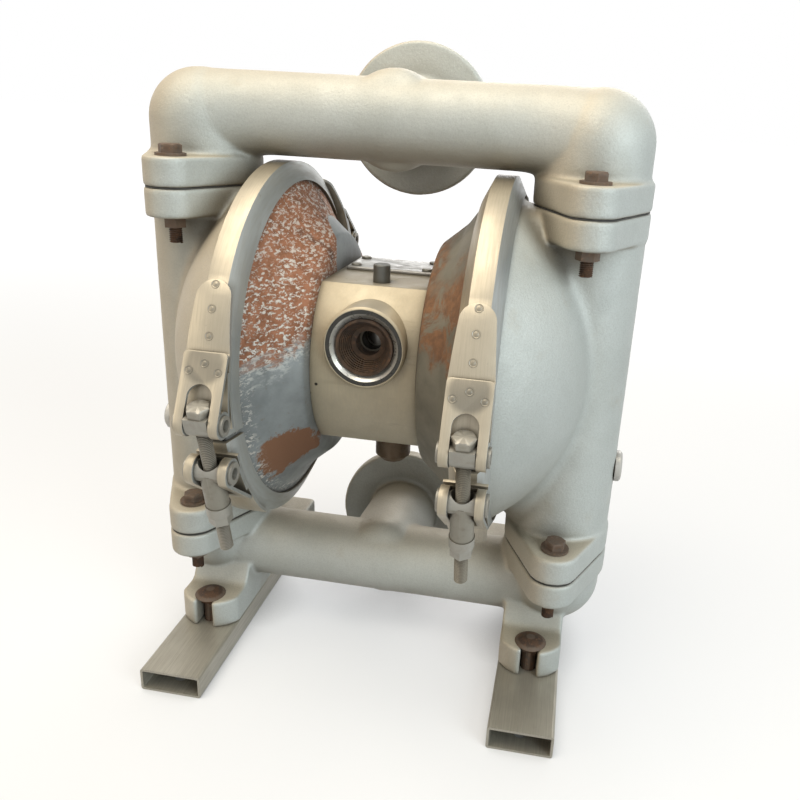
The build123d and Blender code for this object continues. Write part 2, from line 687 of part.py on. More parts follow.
def top_cover_plate():
    "The plate over the valve passages, on the block's flat top."
    wide = (-COVER_HALF, COVER_HALF)
    plate = block(wide, (COVER_FRONT_Y, COVER_BACK_Y), (BLOCK_TOP, BLOCK_TOP + COVER_T))
    plate = chamfer(plate.faces().sort_by(Axis.Z)[-1].edges(), 0.8)
    for x, y in cover_screw_places():
        plate -= post(COVER_SCREW_R + 0.3, BLOCK_TOP - 1, BLOCK_TOP + COVER_T + 1, x, y)
    return ABOUT_SHAFT * plate


def cover_screws():
    "Four pan head screws."
    top = BLOCK_TOP + COVER_T
    screws = []
    for x, y in cover_screw_places():
        head = post(COVER_SCREW_HEAD_R, top, top + COVER_SCREW_HEAD_T, x, y)
        head = fillet(head.edges().sort_by(Axis.Z)[-1], 1.2)
        screws.append(ABOUT_SHAFT * (head + post(COVER_SCREW_R, BLOCK_TOP - 8, top + 0.5, x, y)))
    return group(screws)


def inlet_ring():
    "The bright steel ring pressed into the inlet boss, dished towards the bore."
    back = INLET_FACE_Y + INLET_RING_T
    ring = bar_y(INLET_RING_R, INLET_FACE_Y + 0.5, back, INLET_X, INLET_UP)
    ring -= bar_y(INLET_RING_BORE_R, INLET_FACE_Y, back + 1, INLET_X, INLET_UP)
    mouth = ring.edges().filter_by(GeomType.CIRCLE).filter_by(
        lambda edge: abs(edge.radius - INLET_RING_BORE_R) < 0.01).sort_by(Axis.Y)[0]
    return ABOUT_SHAFT * chamfer(mouth, INLET_RING_CHAMFER)


def inlet_bush():
    "The rusty reducing bush in the inlet, stepped down to the air line's thread."
    front = INLET_FACE_Y + 1.5
    bush = bar_y(INLET_BUSH_R, front, front + INLET_BUSH_T, INLET_X, INLET_UP)
    bush -= Pos(INLET_X, front + INLET_STEP_DEPTH / 2, INLET_UP) * Rot(90, 0, 0) * Cone(
        INLET_STEP_R, INLET_BUSH_R - 1.6, INLET_STEP_DEPTH)
    bush -= bar_y(INLET_BORE_R, front, front + INLET_BUSH_T + 1, INLET_X, INLET_UP)
    return ABOUT_SHAFT * bush


def valve_sleeve():
    "The fixed sleeve round the air valve's spool."
    low = -BLOCK_BOTTOM + CAP_T
    high = BLOCK_TOP - CAP_T
    sleeve = post(SLEEVE_BORE_R, low, high, INLET_X, VALVE_Y)
    sleeve -= post(SPOOL_SLEEVE_R, low - 1, high + 1, INLET_X, VALVE_Y)
    sleeve -= bar_y(INLET_PASSAGE_R, VALVE_Y - SLEEVE_BORE_R - 1, VALVE_Y, INLET_X, INLET_UP)
    return ABOUT_SHAFT * sleeve


def air_valve_spool():
    "The spool, resting at the sleeve's foot, with two waists between its lands."
    low = -BLOCK_BOTTOM + CAP_T
    spool = post(SPOOL_R, low, low + SPOOL_LENGTH, INLET_X, VALVE_Y)
    for middle in (0.32, 0.68):
        waist_z = low + middle * SPOOL_LENGTH
        groove = post(SPOOL_R + 1, waist_z - 8, waist_z + 8, INLET_X, VALVE_Y)
        spool -= groove - post(SPOOL_WAIST_R, waist_z - 9, waist_z + 9, INLET_X, VALVE_Y)
    return ABOUT_SHAFT * spool


def spool_pin():
    "The pin on the spool, which shows above the block."
    low = -BLOCK_BOTTOM + CAP_T + SPOOL_LENGTH
    pin = post(PIN_R, low, BLOCK_TOP + PIN_PROUD, INLET_X, VALVE_Y)
    return ABOUT_SHAFT * chamfer(pin.edges().sort_by(Axis.Z)[-1], 0.6)


def pilot_rod():
    "The rod that the diaphragm plates push at the end of each stroke."
    rod = bar_x(PILOT_R, -FLOOR_X - PILOT_REACH, FLOOR_X + PILOT_REACH, PILOT_Y, PILOT_UP)
    return ABOUT_SHAFT * rod


def exhaust_silencer():
    "The silencer under the block: a hexagon and a round body with a coned end."
    top = SHAFT_Z - BLOCK_BOTTOM
    hexagon = upright_hex(SILENCER_FLATS, top - SILENCER_HEX_T, top, 0, SILENCER_Y)
    body = post(SILENCER_R, top - SILENCER_LENGTH, top - SILENCER_HEX_T, 0, SILENCER_Y)
    tip = body.edges().sort_by(Axis.Z)[0]
    body = chamfer(tip, SILENCER_R - SILENCER_TIP_R)
    stem = post(SILENCER_BORE_R, top - 1, top + 12, 0, SILENCER_Y)
    return hexagon + body + stem


# Moving set: shaft, plates and diaphragms

def shaft():
    "The diaphragm shaft, with a threaded stud at each end."
    bar = bar_x(SHAFT_R, -SHAFT_SHOULDER_X, SHAFT_SHOULDER_X)
    reach = OUTER_PLATE_X + SHAFT_NUT_T - 1
    return ABOUT_SHAFT * (bar + bar_x(STUD_R, -reach, reach))


def dished_plate(x_low, x_high):
    "A diaphragm plate with rounded edges and a stud hole."
    plate = bar_x(PLATE_R, x_low, x_high)
    plate = fillet(plate.edges().filter_by(GeomType.CIRCLE), PLATE_EDGE_R)
    return ABOUT_SHAFT * (plate - bar_x(STUD_R, x_low - 1, x_high + 1))


def inner_plate():
    return dished_plate(SHAFT_SHOULDER_X, SHAFT_SHOULDER_X + PLATE_T)


def outer_plate():
    return dished_plate(OUTER_PLATE_X - PLATE_T, OUTER_PLATE_X)


def diaphragm_nut():
    "The nut on the right stud."
    across = Plane.YZ * RegularPolygon(SHAFT_NUT_FLATS / 2, 6, major_radius=False)
    nut = Pos(OUTER_PLATE_X, 0, 0) * extrude(across, SHAFT_NUT_T)
    return ABOUT_SHAFT * (nut - bar_x(STUD_R, OUTER_PLATE_X - 1, OUTER_PLATE_X + SHAFT_NUT_T + 1))


def diaphragm():
    "The right diaphragm: clamped bead, free rolled ring and the middle between the plates."
    hub_low = HUB_X - HUB_HALF
    hub_high = HUB_X + HUB_HALF
    bead_low = RING_X - BEAD_HALF
    bead_high = RING_X + BEAD_HALF
    free_r = (PLATE_R + RIM_SEAT_R) / 2
    edge_r = PLATE_R + 1.5
    seat_r = RIM_SEAT_R - 1.0
    face = make_face([
        Polyline((hub_low, STUD_R), (hub_low, edge_r)),
        ThreePointArc((hub_low, edge_r), (hub_low + DIAPHRAGM_ROLL, free_r), (bead_low, seat_r)),
        Polyline((bead_low, seat_r), (bead_low, RIM_R), (bead_high, RIM_R), (bead_high, seat_r)),
        ThreePointArc((bead_high, seat_r), (hub_high + DIAPHRAGM_ROLL, free_r), (hub_high, edge_r)),
        Polyline((hub_high, edge_r), (hub_high, STUD_R), (hub_low, STUD_R)),
    ])
    return ABOUT_SHAFT * Rot(75, 0, 0) * revolve(Plane.XZ * face, Axis.X, 360)


def shaft_bush():
    "The right bush that the shaft runs in."
    low = BLOCK_HALF - SEAL_T - BUSH_LENGTH
    bush = bar_x(BUSH_R, low, low + BUSH_LENGTH)
    return ABOUT_SHAFT * (bush - bar_x(SHAFT_R + SHAFT_GAP, low - 1, low + BUSH_LENGTH + 1))


def shaft_seal():
    "The right shaft seal, outside its bush."
    low = BLOCK_HALF - SEAL_T
    seal = bar_x(SEAL_R, low, BLOCK_HALF)
    return ABOUT_SHAFT * (seal - bar_x(SHAFT_R + SHAFT_GAP, low - 1, BLOCK_HALF + 1))


# Check valves

def seat_tops():
    "Heights of the valve seats' upper faces: suction, then discharge."
    return LOW_SEAM_Z + GASKET_HALF, TOP_SEAM_Z + GASKET_HALF


def valve_seat(top):
    "A seat ring at the right column, dished to fit the ball."
    ring = post(SEAT_R, top - GASKET_T - SEAT_T, top, COLUMN_X)
    ring -= post(SEAT_BORE_R, top - GASKET_T - SEAT_T - 1, top + 1, COLUMN_X)
    return ring - Pos(COLUMN_X, 0, top + SEAT_RISE) * Sphere(BALL_R + SEAT_GAP)


def check_ball(top, side):
    "A ball on its seat; side is 1 at the right."
    return Pos(side * COLUMN_X, 0, top + SEAT_RISE) * Rot(0, 0, 45) * Sphere(BALL_R)


def flange_gasket(seam_z):
    "The gasket of the right column's joint, just inside the flanges' edge."
    sheet = oval(FLANGE_R - GASKET_INSET, EAR_R - GASKET_INSET)
    gasket = Pos(COLUMN_X, 0, seam_z - GASKET_HALF) * extrude(sheet, GASKET_T)
    gasket -= post(SEAT_R + 0.3, seam_z - 1, seam_z + 1, COLUMN_X)
    return gasket - flange_holes(seam_z - GASKET_HALF, seam_z + GASKET_HALF)


# Flange fasteners

def flange_stacks():
    "Each bolted ear at the right column: its x, y, and the stack's top and bottom."
    half = GASKET_HALF + FLANGE_T
    return [(COLUMN_X, side * EAR_Y, seam + half, seam - half)
            for seam in (TOP_SEAM_Z, LOW_SEAM_Z) for side in (-1, 1)]


def flange_bolt(x, y, top, bottom):
    "A hexagon head bolt, head up on its washer."
    seat = top + M10_WASHER_T
    head = upright_hex(M10_FLATS, seat, seat + M10_HEAD_T, x, y)
    head &= Pos(x, y, seat) * Cone(M10_FLATS / 2 + 7, M10_FLATS / 2 - 0.4, M10_HEAD_T,
                                   align=(Align.CENTER, Align.CENTER, Align.MIN))
    shank = post(M10_R, bottom - M10_NUT_T - BOLT_TAIL, seat + 0.5, x, y)
    return head + shank


def flange_washer(x, y, top, bottom):
    ring = post(M10_WASHER_R, top, top + M10_WASHER_T, x, y)
    return ring - post(M10_R + THREAD_GAP, top - 1, top + M10_WASHER_T + 1, x, y)


def flange_nut(x, y, top, bottom):
    nut = upright_hex(M10_FLATS, bottom - M10_NUT_T, bottom, x, y)
    return nut - post(M10_R + THREAD_GAP, bottom - M10_NUT_T - 1, bottom + 1, x, y)


# Clamp rings

def at_closure(shape):
    "Moves a shape from the closure's own frame (Z up the bolt, Y inwards) to the right ring's front."
    angle = math.radians(CLOSURE_ANGLE)
    foot_y = -CLOSURE_R * math.cos(angle)
    foot_z = CLOSURE_R * math.sin(angle)
    return Pos(RING_X, foot_y, SHAFT_Z + foot_z) * Rot(-CLOSURE_ANGLE, 0, 0) * shape


def on_ring(radius, angle):
    "A point (y, z) of the closure's frame, at a radius and angle about the shaft."
    turn = math.radians(angle)
    return (CLOSURE_R - radius * math.cos(turn), radius * math.sin(turn))


def sector(inner_r, outer_r, start, stop, half_width):
    "A piece of ring about the shaft, in the closure's frame."
    face = Pos(CLOSURE_R, 0) * (Circle(outer_r) - Circle(inner_r))
    far = 2 * outer_r
    steps = max(2, math.ceil((stop - start) / 60) + 1)
    fan = [(CLOSURE_R, 0)]
    for step in range(steps):
        fan.append(on_ring(far, start + (stop - start) * step / (steps - 1)))
    face &= make_face(Polyline(*fan, close=True))
    return extrude(Plane.YZ * face, half_width, both=True)


def v_band():
    "Half a ring: a flat crown with two sloping flanks, in the closure's frame."
    crown_in = CROWN_R - BAND_T
    wide = BAND_T / math.cos(FLANK_TILT)
    outer = [(band_half_width(FLANK_R), FLANK_R), (CROWN_HALF, CROWN_R)]
    inner = [(band_half_width(crown_in) - wide, crown_in), (band_half_width(FLANK_R) - wide, FLANK_R)]
    right = outer + inner
    left = [(-x, r) for x, r in reversed(right)]
    points = [outer[0], outer[1], left[2], left[3], left[0], left[1], inner[0], inner[1]]
    face = make_face(Polyline(*points, close=True))
    lift = 90 - (180 - BAND_GAP)
    sweep = revolve(Plane.XZ * face, Axis.X, 180 - 2 * BAND_GAP)
    return Pos(0, CLOSURE_R, 0) * Rot(lift, 0, 0) * sweep


def tangent_heading(ring_centre_z, ring_r, start, side):
    "Direction in which a plate leaves the strap, and its length; side is -1 outside and 1 inside."
    dy = -start[0]
    dz = ring_centre_z - start[1]
    reach = math.hypot(dy, dz)
    spin = side if dz < 0 else -side
    heading = math.atan2(dz, dy) + spin * math.asin(ring_r / reach)
    return heading, math.sqrt(reach**2 - ring_r**2)


def tangent_plate(ring_centre_z, ring_r, start, side):
    "A flat plate from a point on the strap, tangent to a loop."
    heading, run = tangent_heading(ring_centre_z, ring_r, start, side)
    end = (start[0] + run * math.cos(heading), start[1] + run * math.sin(heading))
    inner = (end[0] * (1 - STRAP_T / ring_r),
             ring_centre_z + (end[1] - ring_centre_z) * (1 - STRAP_T / ring_r))
    shift = (inner[0] - end[0], inner[1] - end[1])
    back = (start[0] + shift[0], start[1] + shift[1])
    return make_face(Polyline(start, end, inner, back, close=True))


def outer_fold(angle):
    "Where the folded sheet's outer leg ends, lying on the strap."
    return on_ring(CROWN_R + 2 * STRAP_T, angle)


def loop(centre_z, pin_r, outer_start, inner_start):
    "The strap folded round a trunnion, with its outer and inner plates."
    inside = pin_r + LOOP_CLEARANCE
    outside = inside + STRAP_T
    face = Pos(0, centre_z) * (Circle(outside) - Circle(inside))
    hole = Pos(0, centre_z) * Circle(inside)
    plates = tangent_plate(centre_z, outside, outer_start, -1)
    plates += tangent_plate(centre_z, outside, inner_start, 1)
    face = (face + plates) - hole
    return extrude(Plane.YZ * face, STRAP_FOLD_HALF, both=True)


def strap_trim(start, stop, narrow_half, wide_half):
    "A tapered outline with a rounded end, seen along the radius, to trim a strap on the crown."
    middle = (start + stop) / 2
    length = math.radians(abs(stop - start)) * CROWN_R
    way = 1 if stop > start else -1
    round_z = way * (length / 2 - narrow_half)
    face = make_face(Polyline(
        (-wide_half, -way * length / 2), (wide_half, -way * length / 2),
        (narrow_half, round_z), (-narrow_half, round_z), close=True))
    face += Pos(0, round_z) * Circle(narrow_half)
    prism = extrude(Plane.XZ * face, 12, both=True)
    return Pos(0, CLOSURE_R, 0) * Rot(-middle, 0, 0) * Pos(0, -CROWN_R, 0) * prism


def head_end():
    "The strap and loop that hold the bolt's head, in the closure's frame."
    crown = CROWN_R + STRAP_T
    strap = sector(CROWN_R, crown, STRAP_FOLD, STRAP_END, STRAP_FOLD_HALF)
    strap &= strap_trim(STRAP_FOLD - 0.5, STRAP_END, STRAP_HALF, STRAP_FOLD_HALF)
    strap += sector(CROWN_R, crown, BAND_GAP + 4, STRAP_FOLD, STRAP_FOLD_HALF)
    fold = outer_fold(STRAP_FOLD)
    strap += loop(SADDLE_UP, TRUNNION_R, fold, on_ring(crown, STRAP_FOLD - 5))
    return strap - head_slot(fold) - end_corners(fold)


def end_corners(fold):
    "What rounds the two end corners of the folded sheet."
    heading = tangent_heading(SADDLE_UP, TRUNNION_R + LOOP_CLEARANCE + STRAP_T, fold, -1)[0]
    side = STRAP_FOLD_HALF - STRAP_CORNER_R
    corner = Rectangle(STRAP_CORNER_R, STRAP_CORNER_R, align=(Align.MIN, Align.MIN))
    corner = Pos(side, -STRAP_CORNER_R) * (corner - Circle(STRAP_CORNER_R))
    cutter = extrude(Plane.XZ * (corner + mirror(corner, Plane.YZ)), STRAP_T - 0.3, both=True)
    return Pos(0, *fold) * Rot(math.degrees(heading) + 90, 0, 0) * cutter


def head_slot(fold):
    "The bolt head's slot: square to the outer plate above, and round the trunnion below."
    loop_r = TRUNNION_R + LOOP_CLEARANCE + STRAP_T
    heading, run = tangent_heading(SADDLE_UP, loop_r, fold, -1)
    along = math.degrees(heading) + 90
    straight = HEAD_SLOT_REACH + HEAD_SLOT_HALF
    outline = Pos(0, -straight) * Circle(HEAD_SLOT_HALF)
    outline += Pos(0, -(straight + run) / 2) * Rectangle(2 * HEAD_SLOT_HALF, run - straight)
    cutter = extrude(Plane.XZ * outline, STRAP_T + 1.5, both=True)
    slot = Pos(0, *fold) * Rot(along, 0, 0) * cutter
    wide = (-HEAD_SLOT_HALF, HEAD_SLOT_HALF)
    return slot + block(wide, (-CLOSURE_R / 4, SADDLE_DEPTH + 0.8), (0, SADDLE_UP + loop_r + 0.4))


def sleeve_end():
    "The strap and loop that hold the sleeve's trunnion, in the closure's frame."
    crown = CROWN_R + STRAP_T
    strap = sector(CROWN_R, crown, -STRAP_END, -LOW_STRAP_FOLD, STRAP_FOLD_HALF)
    strap &= strap_trim(-LOW_STRAP_FOLD + 0.5, -STRAP_END, STRAP_HALF, STRAP_FOLD_HALF)
    strap += sector(CROWN_R, crown, -LOW_STRAP_FOLD, -BAND_GAP - 3, STRAP_FOLD_HALF)
    strap += loop(-SLEEVE_DOWN, SLEEVE_TRUNNION_R,
                  outer_fold(-LOW_STRAP_FOLD), on_ring(crown, -LOW_STRAP_FOLD + 5))
    out = -CLOSURE_R / 4
    wide = (-SLEEVE_SLOT_HALF, SLEEVE_SLOT_HALF)
    slot = block(wide, (out, M10_R + 0.6), (-SLEEVE_DOWN, 0))
    slot += block(wide, (out, SLEEVE_R + 0.3), (-SLEEVE_END - 12, -SLEEVE_DOWN))
    slot += block(wide, (out, COLLAR_R + 2), (-SLEEVE_END - 12, -SLEEVE_DOWN - 12))
    return strap - slot


def to_rear(shape):
    "The mirror image of a shape at the ring's other closure, in the front closure's frame."
    return mirror(shape, Plane.XZ.offset(-CLOSURE_R))


def upper_half():
    "The right ring's upper half, with a head end at the front and the back."
    end = head_end()
    return at_closure(v_band() + end + to_rear(end))


def lower_half():
    "The right ring's lower half, with a sleeve end at the front and the back."
    end = sleeve_end()
    band = mirror(v_band(), Plane.XY)
    return at_closure(band + end + to_rear(end))


def hollow_ends(bar, centre_z):
    "Blind holes in both ends of a trunnion."
    for cut in both_sides(bar_x(TRUNNION_HOLE_R, TRUNNION_HALF - TRUNNION_HOLE_DEPTH, TRUNNION_HALF + 1,
                                0, centre_z)):
        bar -= cut
    return bar


def saddle_trunnion():
    "The upper trunnion, with a flat saddle for the bolt's head."
    bar = hollow_ends(bar_x(TRUNNION_R, -TRUNNION_HALF, TRUNNION_HALF, 0, SADDLE_UP), SADDLE_UP)
    reach = HEAD_SLOT_HALF - 0.6
    saddle = bar_x(SADDLE_R, -reach, reach, 0, SADDLE_UP)
    depth = (-SADDLE_R, SADDLE_DEPTH)
    saddle += block((-reach, reach), depth, (SADDLE_UP, SADDLE_UP + SADDLE_TOP))
    saddle &= block((-reach, reach), depth, (SADDLE_UP - SADDLE_R, SADDLE_UP + SADDLE_TOP))
    return (bar + saddle) - post(M10_R + BOLT_CLEARANCE, 0, SADDLE_UP + 20)


def sleeve_trunnion():
    "The lower trunnion and the long sleeve that its nut bears on."
    bar = bar_x(SLEEVE_TRUNNION_R, -TRUNNION_HALF, TRUNNION_HALF, 0, -SLEEVE_DOWN)
    bar = hollow_ends(bar, -SLEEVE_DOWN)
    bar += post(SLEEVE_R, -SLEEVE_END, -SLEEVE_DOWN)
    bar += post(COLLAR_R, -SLEEVE_END - COLLAR_T, -SLEEVE_END)
    bar -= post(M10_R + BOLT_CLEARANCE, -SLEEVE_END - COLLAR_T - 1, 0)
    mouth = Pos(0, 0, -SLEEVE_DOWN + SLEEVE_TRUNNION_R) * Cone(
        M10_R + BOLT_CLEARANCE, M10_R + 3.2, 6, align=(Align.CENTER, Align.CENTER, Align.MAX))
    return bar - mouth


def clamp_bolt():
    "The long bolt from the saddle through the sleeve."
    seat = SADDLE_UP + SADDLE_TOP
    head = upright_hex(M10_FLATS, seat, seat + M10_HEAD_T)
    head &= Pos(0, 0, seat) * Cone(M10_FLATS / 2 + 7, M10_FLATS / 2 - 0.4, M10_HEAD_T,
                                   align=(Align.CENTER, Align.CENTER, Align.MIN))
    return head + post(M10_R, -CLAMP_TAIL, seat + 0.5)


def clamp_nut():
    "The sleeve's nut, a corner outwards."
    top = -SLEEVE_END - COLLAR_T
    nut = Rot(0, 0, 30) * upright_hex(M10_FLATS, top - M10_NUT_T, top)
    return nut - post(M10_R + THREAD_GAP, top - M10_NUT_T - 1, top + 1)


def at_every_closure(shape):
    "A closure piece at the front and back of both rings."
    front = at_closure(shape)
    rear = at_closure(to_rear(shape))
    return group(both_sides(front) + both_sides(rear))


# Feet

def foot_bar():
    "The right foot: a box section bar with its bolt holes, and floor holes near its open ends."
    outer = RectangleRounded(BAR_W, BAR_H, BAR_CORNER_R)
    inner = RectangleRounded(BAR_W - 2 * BAR_T, BAR_H - 2 * BAR_T, BAR_CORNER_R - BAR_T + 0.4)
    tube = extrude(Plane.XZ * (outer - inner), BAR_HALF_LENGTH, both=True)
    bar = Pos(LUG_X, 0, BAR_H / 2) * tube
    for side in (-1, 1):
        bar -= post(M12_R + BOLT_CLEARANCE, BAR_H / 2, BAR_H + 1, LUG_X, side * FOOT_BOLT_Y)
        bar -= post(FLOOR_HOLE_R, -1, BAR_H / 2, LUG_X, side * FLOOR_HOLE_Y)
    return bar


def foot_bolt(y):
    "A mushroom head bolt through a lug's slot and the bar's top."
    head = Sphere(FOOT_HEAD_R * 1.45)
    drop = math.sqrt((FOOT_HEAD_R * 1.45)**2 - FOOT_HEAD_R**2)
    cap = Pos(0, 0, LUG_TOP - drop) * head
    cap &= post(FOOT_HEAD_R, LUG_TOP, LUG_TOP + FOOT_HEAD_T)
    neck = block((-M12_R, M12_R), (-M12_R, M12_R), (LUG_TOP - 7, LUG_TOP + 0.5))
    shank = post(M12_R - 0.1, FOOT_TAIL, LUG_TOP + 0.5)
    return Pos(LUG_X, y, 0) * (cap + neck + shank)


def foot_nut(y):
    top = BAR_H - BAR_T
    nut = upright_hex(M12_FLATS, top - M12_NUT_T, top, LUG_X, y)
    return nut - post(M12_R, top - M12_NUT_T - 1, top + 1, LUG_X, y)


def write_pair(name, shape):
    "A right and a left node; the left one is the mirror image."
    right, left = both_sides(shape)
    save(f"right_{name}", right)
    save(f"left_{name}", left)


def main():
    os.makedirs("parts", exist_ok=True)
    save("discharge_manifold", discharge_manifold())
    save("suction_manifold", suction_manifold())
    write_pair("liquid_chamber", liquid_chamber())
    write_pair("air_chamber", air_chamber())
    save("side_plugs", group(both_sides(side_plug())))
    save("centre_block", centre_block())
    save("air_chamber_screws", group([half for screw in chamber_screws() for half in both_sides(screw)]))
    save("top_cover_plate", top_cover_plate())
    save("cover_screws", cover_screws())
    save("air_inlet_ring", inlet_ring())
    save("air_inlet_bush", inlet_bush())
    save("valve_sleeve", valve_sleeve())
    save("air_valve_spool", air_valve_spool())
    save("spool_pin", spool_pin())
    save("pilot_rod", pilot_rod())
    save("exhaust_silencer", exhaust_silencer())
    save("diaphragm_shaft", shaft())
    write_pair("inner_plate", inner_plate())
    write_pair("outer_plate", outer_plate())
    save("diaphragm_nuts", group(both_sides(diaphragm_nut())))
    write_pair("diaphragm", diaphragm())
    save("shaft_bushes", group(both_sides(shaft_bush())))
    save("shaft_seals", group(both_sides(shaft_seal())))
    suction_top, discharge_top = seat_tops()
    save("suction_seats", group(both_sides(valve_seat(suction_top))))
    save("discharge_seats", group(both_sides(valve_seat(discharge_top))))
    for name, side in (("right", 1), ("left", -1)):
        save(f"{name}_suction_ball", check_ball(suction_top, side))
        save(f"{name}_discharge_ball", check_ball(discharge_top, side))
    gaskets = [each for seam in (TOP_SEAM_Z, LOW_SEAM_Z) for each in both_sides(flange_gasket(seam))]
    save("flange_gaskets", group(gaskets))
    for name, make in (("bolts", flange_bolt), ("washers", flange_washer), ("nuts", flange_nut)):
        pieces = [each for stack in flange_stacks() for each in both_sides(make(*stack))]
        save(f"flange_{name}", group(pieces))
    write_pair("clamp_upper_half", upper_half())
    write_pair("clamp_lower_half", lower_half())
    save("clamp_saddles", at_every_closure(saddle_trunnion()))
    save("clamp_sleeves", at_every_closure(sleeve_trunnion()))
    save("clamp_bolts", at_every_closure(clamp_bolt()))
    save("clamp_nuts", at_every_closure(clamp_nut()))
    write_pair("foot_bar", foot_bar())
    for name, make in (("bolts", foot_bolt), ("nuts", foot_nut)):
        pieces = [each for side in (-1, 1) for each in both_sides(make(side * FOOT_BOLT_Y))]
        save(f"foot_{name}", group(pieces))


main()
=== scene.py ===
import math

import bmesh
import bpy
import numpy as np
from mathutils import Matrix, Vector, noise

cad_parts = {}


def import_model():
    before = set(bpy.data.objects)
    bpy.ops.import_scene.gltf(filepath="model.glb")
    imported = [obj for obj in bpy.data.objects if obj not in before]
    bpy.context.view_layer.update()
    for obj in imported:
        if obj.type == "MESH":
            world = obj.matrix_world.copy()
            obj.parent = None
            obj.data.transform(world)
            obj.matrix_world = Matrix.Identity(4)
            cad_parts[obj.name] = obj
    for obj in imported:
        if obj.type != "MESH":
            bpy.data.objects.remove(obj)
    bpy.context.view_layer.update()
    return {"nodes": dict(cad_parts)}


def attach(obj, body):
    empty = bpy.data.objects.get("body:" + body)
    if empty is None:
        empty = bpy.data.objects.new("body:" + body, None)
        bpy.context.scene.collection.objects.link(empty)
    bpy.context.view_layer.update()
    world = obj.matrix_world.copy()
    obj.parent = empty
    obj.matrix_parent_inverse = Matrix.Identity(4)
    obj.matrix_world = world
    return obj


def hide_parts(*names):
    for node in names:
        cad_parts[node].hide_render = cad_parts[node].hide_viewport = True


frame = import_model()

NODES = frame["nodes"]
ROOT = "pump_body"
MM = 0.001

# The frame's sizes that the dressed pieces are built on, in metres and radians.
SHAFT_Z = 272.0 * MM
COLUMN_X = 154.5 * MM
EAR_Y = 57.0 * MM
FLANGE_TOPS = (134.5 * MM, 420.5 * MM)
FLANGE_BOTTOMS = (90.5 * MM, 376.5 * MM)
DISCHARGE_Z = 452.5 * MM
SUCTION_Z = 70.0 * MM
PIPE_R = 31.0 * MM
NECK_R = 38.0 * MM
RING_X = 89.0 * MM
CROWN_R = 146.0 * MM
STRAP_T = 2.5 * MM
STRAP_FOLD = math.radians(26.0)
LOOP_UP = 24.0 * MM
LOOP_R = 9.6 * MM
CLOSURE_R = 159.5 * MM
CLOSURE_TILT = math.radians(14.0)
DIAPHRAGM_SPLIT_R = 71.8 * MM

# Bolts.
HEX_FLATS = 15.0 * MM
HEAD_T = 6.4 * MM
HEAD_CROWN = 0.25 * MM
HEAD_FACE = 0.475               # radius of the head's flat top, as a share of the flats
HEAD_CHAMFER = 0.12             # depth of the turned off corners, as a share of the height
HEAD_STEPS = 48
LATHE_STEPS = 24
BOLT_R = 5.0 * MM
BOLT_PITCH = 1.5 * MM
THREAD_DEPTH = 0.62             # as a share of the pitch
THREAD_STEPS = 20
THREAD_TIP = 0.7                # how far the ends are turned down, as a share of the pitch
THREAD_CAP = 0.3 * MM
SHANK_R = 4.9 * MM
SHANK_LAP = 0.5 * MM            # the shank reaches into the thread
HEAD_LAP = 1.0 * MM             # shank and thread reach into the head
WASHER_T = 2.0 * MM
FLANGE_BOLT_END = 20.0 * MM     # below the lower flange
FLANGE_THREAD_TOP = 6.0 * MM    # also below it
CLAMP_HEAD_LOW = 32.0 * MM      # above the closure's middle
CLAMP_TAIL = 91.0 * MM          # below it
# How far the heads are turned, in degrees: by joint, side and end of the flanges, and the clamps'.
FLANGE_SPINS = (17.0, 11.0, 23.0)
CLAMP_SPINS = (26.0, 31.0)

# Rivets: the outline turned round their axis in mm, places in degrees above the closure, and
# places sideways and down from the strap's fold in mm.
RIVET_OUTLINE = ((0, 0.42), (0.9, 0.38), (1.5, 0.20), (1.9, 0.04), (2.25, 0.05), (2.6, 0.26),
                 (2.95, 0.22), (3.15, -0.4), (0, -0.4))
RIVET_ANGLES = (29.9, 37.0, 43.5)
RIVET_SPOTS = ((0, 8.0), (-10.4, 13.5), (10.4, 13.5))

# Skins. A seed moves the lumps, so that no two castings are alike.
CAST_VOXEL = 1.7 * MM
CAST_ROUNDS = 5                 # of smoothing
CAST_SEED = 3.1
CONE_ROUNDS = 4
CONE_SEED = 7.7
CAST_LUMPS = 0.16 * MM
LUMPS_SCALE = 38.0
RIPPLE_SCALE = 130.0
RIPPLE_SHARE = 0.4
SWELL_INSET = 0.4 * MM          # the swelling's dome inside the neck's radius
SWELL_MARGIN = 1.5 * MM
SWELL_ABOVE = (48.0, 40.0)      # degrees from straight ahead where it starts, and its run
SWELL_BELOW = (72.0, 16.0)

# Edges: widths in metres, angles in degrees.
WELD = 2e-6                     # corners closer than this become one
FLAT_ANGLE = 0.2
BEVEL_ANGLE = 32.0
BEVEL_SEGMENTS = 2
SHARP_ANGLE = 35.0
NODE_SHARP_ANGLE = 30.0
BLOCK_EDGE = 0.5 * MM
COVER_EDGE = 0.4 * MM
CLAMP_EDGE = 0.35 * MM

# The photograph's camera: place in metres, angles in degrees, lens in pixels of an 800 pixel frame.
CAMERA_PLACE = Vector((143.73, -602.97, 464.46)) * MM
CAMERA_YAW = 8.38
CAMERA_DOWN = 19.73
CAMERA_ROLL = 3.21
CAMERA_FOCAL = 768.08
CAMERA_AXIS = (451.6, 383.18)
FRAME_PIXELS = 800.0
SENSOR = 36.0

# Light on the stage.
WORLD_LIGHT = 0.16
FLOOR_SIZE = 40.0
FLOOR_LIT = (0.20, 0.20, 0.20)
FLOOR_SEEN = (0.45, 0.45, 0.45)
FLOOR_GLOW = 0.52
FLOOR_NEAR = 0.5
FLOOR_FAR = 3.0
FLOOR_SHADE_REACH = 0.05
LAMP_AIM = (0, 0, 0.27)

